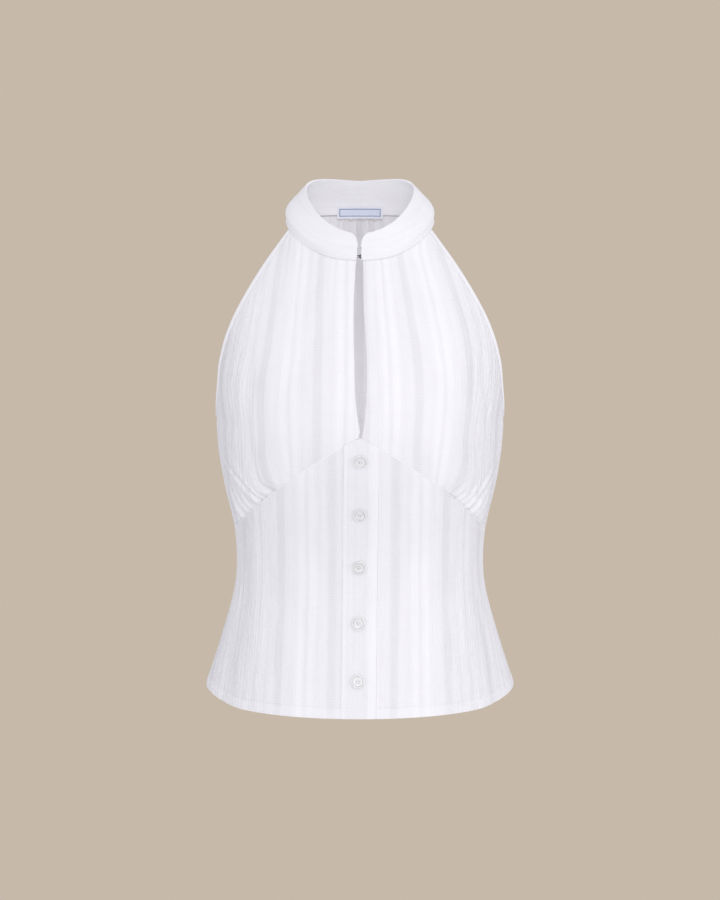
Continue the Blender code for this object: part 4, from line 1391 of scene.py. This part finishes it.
collarPart = {
    "topHalfWidth": 52.6,
    "topFront": 57.0,
    "topBack": 46.0,
    "topHeights": np.array([     # degrees, height
        (0, -8.0), (13, -6.5), (25, -3.0), (40, 3.5), (57, 13.0), (74, 22.6), (90, 29.8),
        (110, 34.8), (135, 36.4), (180, 33.5),
    ]),
    "bulge": np.array([          # share of the height, share of the bow
        (0.0, 0.0), (0.1, 0.27), (0.2, 0.82), (0.3, 1.0), (0.42, 0.96), (0.55, 0.78),
        (0.7, 0.51), (0.85, 0.29), (1.0, 0.0),
    ]),
    "bow": 1.0,              # how far it bows out, and how much further at the sides
    "sideBow": 4.6,
    "corner": 10.0,
    "endGap": 4.4,
    "centre": -0.8,
    "wall": 2.2,
    "bevel": 0.75,
    "meanRadius": 66.0,
    "ripples": (0.22, 0.12),
    "seamDip": 0.42,
    "edgeDip": 0.12,
    "stitchHeight": 4.2,
}


def collarPoint(angle, height, out=0.0):
    # height is 0 at the seam and 1 at the top edge
    turned = wrapped(angle)
    foot = bodyPoint(turned, neckSeam(turned))
    topZ = curveThrough(collarPart["topHeights"][:, 0], collarPart["topHeights"][:, 1],
                        np.degrees(np.abs(turned)))
    top = loopPoint(collarPart["topHalfWidth"], collarPart["topFront"], collarPart["topBack"],
                    0.0, turned, topZ)
    bulge = curveThrough(collarPart["bulge"][:, 0], collarPart["bulge"][:, 1], height)
    bow = (collarPart["bow"] + collarPart["sideBow"] * np.sin(turned) ** 2) * bulge
    along = np.stack([np.cos(turned), np.sin(turned), 0 * turned], -1)
    outwards = unit(np.cross(along, top - foot))
    return foot + (top - foot) * np.asarray(height)[..., None] + outwards * (bow + out)[..., None]


def collarBand():
    half, wall = collarPart["endGap"] / 2, collarPart["wall"]
    first = float(frontAngle(collarPart["centre"] + half, loops[0, 0]))
    last = 2 * math.pi + float(frontAngle(collarPart["centre"] - half, loops[0, 0]))
    radius, corner = loops[0, 3], collarPart["corner"]
    turn = corner / radius / (last - first)
    ends = turn * (1 - np.cos(np.linspace(0, math.pi / 2, 13)))
    s = np.concatenate([ends, np.linspace(turn, 1 - turn, 250)[1:-1], 1 - ends[::-1]])
    angle = mix(first, last, s)[None, :]
    near = np.minimum(angle - first, last - angle) * radius
    zero = np.zeros_like(angle)
    tall = np.linalg.norm(collarPoint(angle, zero + 1, zero) - collarPoint(angle, zero, zero), axis=-1)
    cut = corner - np.sqrt(np.maximum(corner ** 2 - np.maximum(corner - near, 0) ** 2, 0))
    topShare = 1 - np.where(near < corner, cut, 0) / tall
    low, high = (0, 0.012, 0.03, 0.055), (0.955, 0.975, 0.99, 1)
    t = np.concatenate([low, np.linspace(0.085, 0.93, 30), high])[:, None]
    height = t * topShare
    angle = angle * np.ones_like(t)
    arc = (angle - math.pi) * collarPart["meanRadius"]
    # slight ripples in the band, and a pressed edge
    wide, fine = collarPart["ripples"]
    rise = wide * np.sin(arc / 13.0 + 2 * t) * np.sin(t * math.pi) ** 2
    rise = rise + fine * np.sin(arc / 5.1 + 1.3 * np.sin(arc / 17.0)) * np.sin(t * math.pi)
    rise = rise - collarPart["seamDip"] * bell((t * tall - 1.1) / 1.1)
    rise = rise - collarPart["edgeDip"] * bell(((1 - t) * tall - 4.6) / 1.6)
    points = collarPoint(angle, height, rise)
    around, _, up, _ = edgeDistances(points)
    made = gridCloth("collar_cloth", points, np.stack([up, around], -1), plainCotton, wall=wall,
                     offset=0.0, bevel=collarPart["bevel"])
    finishPiece(made, ("collar",))
    stateSheet(points, float(around.max()) * mm, float(tall.max()) * mm)
    # one line of stitching inside, above the seam
    line = np.linspace(first + 0.06, last - 0.06, 900)
    lift = collarPart["stitchHeight"] / np.interp(line, angle[0], tall[0])
    inner = collarPoint(line, lift, np.full(line.shape, -wall / 2 - 0.02))
    outer = collarPoint(line, lift, np.zeros(line.shape))
    return inner, unit(inner - outer)


stitchMesh("collar_stitching", [collarBand()], pitch=2.5, long=1.9, thick=0.34)
print("collar set")

# stitching on the hem and beside the button band

seams = {
    "hemSpans": ((-89.2, -10.8), (-7.6, 89.2), (90.8, 269.2)),   # degrees
    "hemSink": 0.10,
    "bandInset": 1.6,
    "bandRise": 0.22,
    "thread": {"pitch": 2.7, "long": 2.0, "thick": 0.30},
}


def hemStitching():
    lines = []
    for start, end in seams["hemSpans"]:
        angle = np.radians(np.linspace(start, end, 900))
        z = hemLine(angle) + lowerPart["hemHeight"]
        lines.append((onBody(angle, z, -seams["hemSink"]), bodyNormal(angle, z)))
    return lines


def placketStitching():
    offset = lowerPart["bandHalf"] - seams["bandInset"]
    angle, z = offsetLine(offset, np.linspace(0.05, 0.985, 500))
    return [(onBody(angle, z, seams["bandRise"]), bodyNormal(angle, z))]


stitchMesh("hem_stitching", hemStitching(), **seams["thread"])
stitchMesh("placket_stitching", placketStitching(), **seams["thread"])

# the five pearl buttons

buttons = {
    "count": 5,
    "shift": -1.0,
    "rise": 0.62,
    "backRadius": 5.6,
    "backDepth": 0.6,
    "edges": 56,
    # from the back's edge over the rim to the well: the growth and the lift of each ring
    "turning": (
        (1.150, 0.55), (1.010, 0.35), (0.965, 0.34), (0.930, 0.16), (0.935, -0.06),
        (0.940, -0.36), (0.960, -0.34), (0.950, 0.04), (0.955, 0.28), (0.900, 0.08),
        (0.860, -0.12), (0.700, -0.38), (0.620, -0.04),
    ),
    "ringRadius": 4.78,      # the ring groove and the well, where shade is painted on them
    "ringWidth": 0.5,
    "wellRadius": 2.8,
    "holeRadius": 0.62,
    "holePlace": 1.42,
    "roundedEdge": 0.10,
    "threadRadius": 0.24,
    "threadLength": 2.2,
    "threadPlaces": (-1.22, -0.78, 0.78, 1.22),
    "turns": (18, -24, 35, 4, -12),
}


def editFaces(made, test):
    # into edit mode, with only the faces that pass the test selected
    choose(made)
    bpy.ops.object.mode_set(mode="EDIT")
    bpy.ops.mesh.select_all(action="DESELECT")
    bpy.ops.mesh.select_mode(type="FACE")
    bpy.ops.object.mode_set(mode="OBJECT")
    for face in made.data.polygons:
        face.select = test(face)
    bpy.ops.object.mode_set(mode="EDIT")


def extrudeFaces(lift, grow):
    bpy.ops.mesh.extrude_region_move(TRANSFORM_OT_translate={"value": (0, 0, lift * mm)})
    bpy.ops.transform.resize(value=grow, center_override=(0, 0, 0))


def paintedShadeAt(reach, height):
    # painted shade: how dark the ring groove, the well, the underside of the rim and the holes are
    # painted
    ring = bell((reach - buttons["ringRadius"]) / buttons["ringWidth"])
    well = 0.45 * bell(reach / buttons["wellRadius"])
    underRim = 0.9 if height < 1.45 and reach > 5.5 else 0
    inHole = 0.8 if height < 0.9 and reach < 3 else 0
    return max(float(ring), float(well), underRim, inHole)


def buttonShape():
    # a turned disc with a raised rim, a ring groove and a shallow well
    bpy.ops.mesh.primitive_cylinder_add(
        vertices=buttons["edges"], radius=buttons["backRadius"] * mm,
        depth=buttons["backDepth"] * mm, location=(0, 0, buttons["backDepth"] / 2 * mm))
    made = bpy.context.object
    made.name = "button_shape"
    bpy.ops.object.transform_apply(location=True, rotation=True, scale=True)
    editFaces(made, lambda face: face.normal.z > 0.9)
    for grow, lift in buttons["turning"]:
        extrudeFaces(lift, (grow, grow, 1))
    bpy.ops.mesh.select_all(action="SELECT")
    bpy.ops.mesh.remove_doubles(threshold=0.000001)
    bpy.ops.object.mode_set(mode="OBJECT")
    turnOutwards(made)
    reach = buttons["holePlace"] * mm
    for turn in np.radians((45, 135, 225, 315)):
        bpy.ops.mesh.primitive_cylinder_add(
            vertices=20, radius=buttons["holeRadius"] * mm, depth=8 * mm,
            location=(reach * math.cos(turn), reach * math.sin(turn), 1 * mm))
        drill = bpy.context.object
        cut = made.modifiers.new("Hole", "BOOLEAN")
        cut.operation = "DIFFERENCE"
        cut.solver = "EXACT"
        cut.object = drill
        applyAll(made)
        bpy.data.objects.remove(drill)
    addBevel(made, buttons["roundedEdge"], 38)
    applyAll(made)
    made.data.materials.append(finishes["pearl"])
    # painted shade, kept in the "groove" attribute
    shade = made.data.attributes.new("groove", "FLOAT", "POINT")
    for point, target in zip(made.data.vertices, shade.data):
        target.value = paintedShadeAt(math.hypot(point.co.x, point.co.y) / mm, point.co.z / mm)
    choose(made)
    bpy.ops.object.shade_smooth_by_angle(angle=math.radians(42))
    return made


def threadShape(height):
    # two short double bars of thread through the four holes
    bars = []
    for y in buttons["threadPlaces"]:
        bpy.ops.mesh.primitive_cylinder_add(
            vertices=10, radius=buttons["threadRadius"] * mm, depth=buttons["threadLength"] * mm,
            location=(0, y * mm, height * mm), rotation=(0, math.pi / 2, 0))
        bar = bpy.context.object
        bpy.ops.object.transform_apply(location=True, rotation=True, scale=True)
        editFaces(bar, lambda face: abs(face.normal.x) > 0.9)
        extrudeFaces(-0.5, (1.12, 1, 1))
        bpy.ops.object.mode_set(mode="OBJECT")
        turnOutwards(bar)
        bpy.ops.object.shade_smooth()
        bar.data.materials.append(finishes["thread"])
        bars.append(bar)
    return bars


def setButtons():
    shape = buttonShape()
    seat = min(v.co.z for v in shape.data.vertices
               if math.hypot(v.co.x, v.co.y) < 0.0024 and v.co.z > 0.0006)
    choose(*threadShape(seat / mm + 0.15), shape)
    bpy.ops.object.join()
    for number in range(buttons["count"]):
        z = np.array(band["firstButton"] - number * band["buttonStep"])
        angle = frontAngle(bandCentre(z) + buttons["shift"], z)
        place = onBody(angle, z, np.array(buttons["rise"]))
        out = Vector(bodyNormal(angle, z))
        made = newObject(f"button_{number + 1}_pearl", shape.data.copy())
        turn = out.to_track_quat("Z", "Y").to_matrix().to_4x4()
        spin = Matrix.Rotation(math.radians(buttons["turns"][number]), 4, "Z")
        made.data.transform(Matrix.Translation(Vector(place) * mm) @ turn @ spin)
        finishPiece(made, (f"button_{number + 1}",))
    bpy.data.objects.remove(shape)


setButtons()
print("buttons sewn on")

# the hook and eye between the collar's ends

hookAndEye = {
    "wire": 0.37,
    "height": -29.5,
    "eyeHalf": 2.1,
    "eyeReach": 6.5,
    "hookHalf": 0.8,
    "hookReach": 7.0,
    "barPlace": 0.9,         # the eye's round end, from the middle of the collar's gap
    "behind": 0.45,
    "slack": 0.22,
}


def wirePiece(name, points, node):
    curve = bpy.data.curves.new(name, "CURVE")
    curve.dimensions = "3D"
    curve.bevel_depth = hookAndEye["wire"] * mm
    curve.bevel_resolution = 4
    curve.use_fill_caps = True
    spline = curve.splines.new("NURBS")
    spline.points.add(len(points) - 1)
    for target, point in zip(spline.points, points):
        target.co = (*(point[k] * mm for k in range(3)), 1)
    spline.use_endpoint_u = True
    spline.order_u = 3
    spline.resolution_u = 5
    choose(newObject(name, curve))
    bpy.ops.object.convert(target="MESH")
    made = bpy.context.object
    made.data.materials.append(finishes["steel"])
    bpy.ops.object.shade_smooth()
    finishPiece(made, (node,))


def hookPieces():
    radius, centre = hookAndEye["wire"], collarPart["centre"]
    planeY = float(collarPoint(np.zeros(1), np.full(1, 0.1), np.zeros(1))[0, 1])
    planeY += collarPart["wall"] / 2 + hookAndEye["behind"] + radius
    z, half = hookAndEye["height"], hookAndEye["eyeHalf"]
    bar = centre + hookAndEye["barPlace"]
    foot = centre + hookAndEye["eyeReach"]
    eye = [(foot, planeY, z + half)]
    for step in np.radians(np.linspace(90, 270, 15)):
        eye.append((bar + half + half * math.cos(step), planeY, z + half * math.sin(step)))
    eye.append((foot, planeY, z - half))
    wirePiece("collar_eye_wire", eye, "collar_eye")
    turn = 2 * radius + hookAndEye["slack"]
    strand = [(centre - hookAndEye["hookReach"], 0.0), (bar - 3.2, 0.0), (bar - 1.5, -turn)]
    for step in np.radians(np.linspace(90, -90, 9)):
        strand.append((bar + turn * math.cos(step), -turn * math.sin(step)))
    strand.append((bar - 0.5, turn))
    lower = [(x, planeY + y, z - hookAndEye["hookHalf"]) for x, y in strand]
    upper = [(x, y, z + hookAndEye["hookHalf"]) for x, y, _ in reversed(lower)]
    wirePiece("collar_hook_wire", lower + upper, "collar_hook")


hookPieces()

# the small blank label inside the neck

labelPart = {
    "halfWidth": 23.5,
    "top": 7.8,
    "foot": -4.4,
    "wall": 0.55,
    "bevel": 0.12,
    "standOff": 0.5,
    "crown": 0.14,
    "border": 2.2,
    "field": (0.74, 0.79, 0.93),
    "edge": (0.30, 0.36, 0.56),
    "ground": (0.86, 0.87, 0.93),
}


def labelMaterial():
    label = Finish("label_weave_cloth")
    times, plus, minus = label.times, label.plus, label.minus
    uv, x, y = label.fabric()
    # distance in from the label's edge, in centimetres
    half, top, foot = (labelPart[k] for k in ("halfWidth", "top", "foot"))
    fromSide = minus(half, label.calc("ABSOLUTE", x))
    fromEnd = minus((top - foot) / 2, label.calc("ABSOLUTE", minus(y, (top + foot) / 2)))
    inset = label.calc("DIVIDE", label.calc("MINIMUM", fromSide, fromEnd), 10.0)
    border = labelPart["border"] / 10
    ground, edge, field = (labelPart[k] for k in ("ground", "edge", "field"))
    colour = label.ramp(inset, ((0.0, ground), (border - 0.03, ground), (border, edge),
                                (border + 0.08, edge), (border + 0.11, field)))
    weave = times(label.wave(x, 0.5), label.wave(y, 0.4))
    mottle = label.noise(uv, (0.9, 2.4), 3.0, 0.6)
    tone = plus(times(weave, 0.05), label.ramp(mottle, ((0.3, 0.86), (0.7, 1.02))))
    return label.surface({
        "Base Color": label.blend(colour, tone),
        "Normal": label.bump(weave, 0.5, 0.00012),
        "Roughness": 0.62,
        "Sheen Weight": 0.15,
    })


def neckLabel():
    half, top, foot = (labelPart[k] for k in ("halfWidth", "top", "foot"))
    x = np.linspace(half, -half, 70)[::-1][None, :]
    z = np.linspace(foot, top, 22)[:, None]
    x, z = x * np.ones_like(z), z * np.ones_like(x)
    angle, zero = math.pi - np.arcsin(x / loops[0, 2]), np.zeros_like(x)
    seam = collarPoint(angle, zero, zero)
    at = collarPoint(angle, np.maximum(z, 0) / collarPart["topHeights"][-1, 1], zero)
    inwards = unit(np.stack([-seam[..., 0], -seam[..., 1], zero], -1))
    # its edges lie close to the collar and its middle stands a little off
    edge = np.minimum(half - np.abs(x), np.minimum(z - foot, top - z))
    off = collarPart["wall"] / 2 + labelPart["standOff"] + labelPart["crown"] * smooth(edge / 3)
    points = np.stack([x, at[..., 1], z], -1) + inwards * off[..., None]
    made = gridCloth("neck_label_cloth", points, np.stack([x, z], -1), labelMaterial(),
                     wall=labelPart["wall"], bevel=labelPart["bevel"])
    finishPiece(made, ("neck_label",))
    # its hand stitches at both ends
    ends = np.linspace(foot + 0.8, top - 0.8, 20)
    lines = []
    for column in (2, -3):
        line = np.transpose(pointAlong(ends, z[:, 0], points[:, column]))
        lines.append((line, inwards[:20, column]))
    stitchMesh("label_stitching", lines, pitch=2.2, long=1.5, thick=0.3, sink=0.0)


neckLabel()
print("label and hook in place")

# the studio: a plain pale backdrop, soft light and the camera

studio = {
    "backdrop": (0.565, 0.485, 0.397),
    "floor": -1.25,
    "radius": 5.0,
    "bend": 1.2,
    "wallTop": 6.0,
    "sides": 96,
    "sky": (0.938, 0.938, 1.0),
    "skyPower": 0.785,
    # power, size and place
    "lamps": {
        "key_light": (23.8, 1.4, (0.1, -3.0, 0.5)),
        "side_light": (13.2, 1.4, (2.95, -1.05, -0.2)),
        "fill_light": (3.1, 1.4, (-2.6, -2.0, 0.0)),
        "top_light": (6.8, 1.8, (0.2, -1.2, 2.6)),
    },
    "lampColour": (1.0, 0.99, 0.98),
    "aim": (0, 0, -0.2),
    "inner": (0.12, 0.045, (0, -0.012, -0.20)),     # power, radius and place
    "camera": (0, -2.4, 0.231),
    "cameraDrop": (0.1908, 0.9816),                 # how far it looks down, over how far ahead
    "lens": 97.8,
    "shift": 0.0056,
}


def backdrop():
    # one smooth sweep from the floor up to the wall, all round
    floor, reach, bend, sides = (studio[k] for k in ("floor", "radius", "bend", "sides"))
    profile = [(reach - bend + bend * math.sin(step), floor + bend - bend * math.cos(step))
               for step in np.radians(np.linspace(0, 90, 13))]
    profile.append((reach, studio["wallTop"]))
    vertices, faces = [(0, 0, floor)], []
    for radius, z in profile:
        for side in range(sides):
            turn = 2 * math.pi * side / sides
            vertices.append((radius * math.cos(turn), radius * math.sin(turn), z))
    for side in range(sides):
        faces.append((0, 1 + side, 1 + (side + 1) % sides))
    for ring in range(len(profile) - 1):
        for side in range(sides):
            a, b = 1 + ring * sides + side, 1 + ring * sides + (side + 1) % sides
            faces.append((a, a + sides, b + sides, b))
    mesh = bpy.data.meshes.new("studio_sweep")
    mesh.from_pydata(vertices, [], faces)
    mesh.shade_smooth()
    made = newObject("studio_sweep", mesh)
    finish = bpy.data.materials.new("studio_paper")
    finish.use_nodes = True
    tree = finish.node_tree
    tree.nodes.remove(tree.nodes["Principled BSDF"])
    glow = tree.nodes.new("ShaderNodeEmission")
    glow.inputs["Color"].default_value = (*studio["backdrop"], 1)
    tree.links.new(glow.outputs[0], tree.nodes["Material Output"].inputs["Surface"])
    mesh.materials.append(finish)
    made.visible_diffuse = False
    made.visible_shadow = False


def softLight(name, power, size, place):
    light = bpy.data.lights.new(name, "AREA")
    light.shape = "DISK"
    light.size = size
    light.energy = power
    light.color = studio["lampColour"]
    lamp = newObject(name, light)
    lamp.location = place
    aim = Vector(studio["aim"]) - Vector(place)
    lamp.rotation_euler = aim.to_track_quat("-Z", "Y").to_euler()


def innerLight():
    # thin white cotton glows inside with the light that comes through it
    power, radius, place = studio["inner"]
    glow = bpy.data.lights.new("inner_light", "POINT")
    glow.energy = power
    glow.shadow_soft_size = radius
    lamp = newObject("inner_light", glow)
    lamp.location = place
    lamp.visible_camera = False


def skyAndCamera():
    scene = bpy.context.scene
    world = bpy.data.worlds.new("studio_light")
    world.use_nodes = True
    sky = world.node_tree.nodes["Background"].inputs
    sky[0].default_value = (*studio["sky"], 1)
    sky[1].default_value = studio["skyPower"]
    scene.world = world
    scene.view_settings.view_transform = "Standard"
    lens = bpy.data.cameras.new("photo_camera")
    lens.sensor_fit = "VERTICAL"
    lens.sensor_height = 36
    lens.lens = studio["lens"]
    lens.shift_y = studio["shift"]
    lens.clip_start = 0.05
    lens.clip_end = 60
    camera = newObject("photo_camera", lens)
    camera.location = studio["camera"]
    camera.rotation_euler = (math.pi / 2 - math.atan2(*studio["cameraDrop"]), 0, 0)
    scene.camera = camera


backdrop()
for name, values in studio["lamps"].items():
    softLight(name, *values)
innerLight()
skyAndCamera()
print("studio ready")
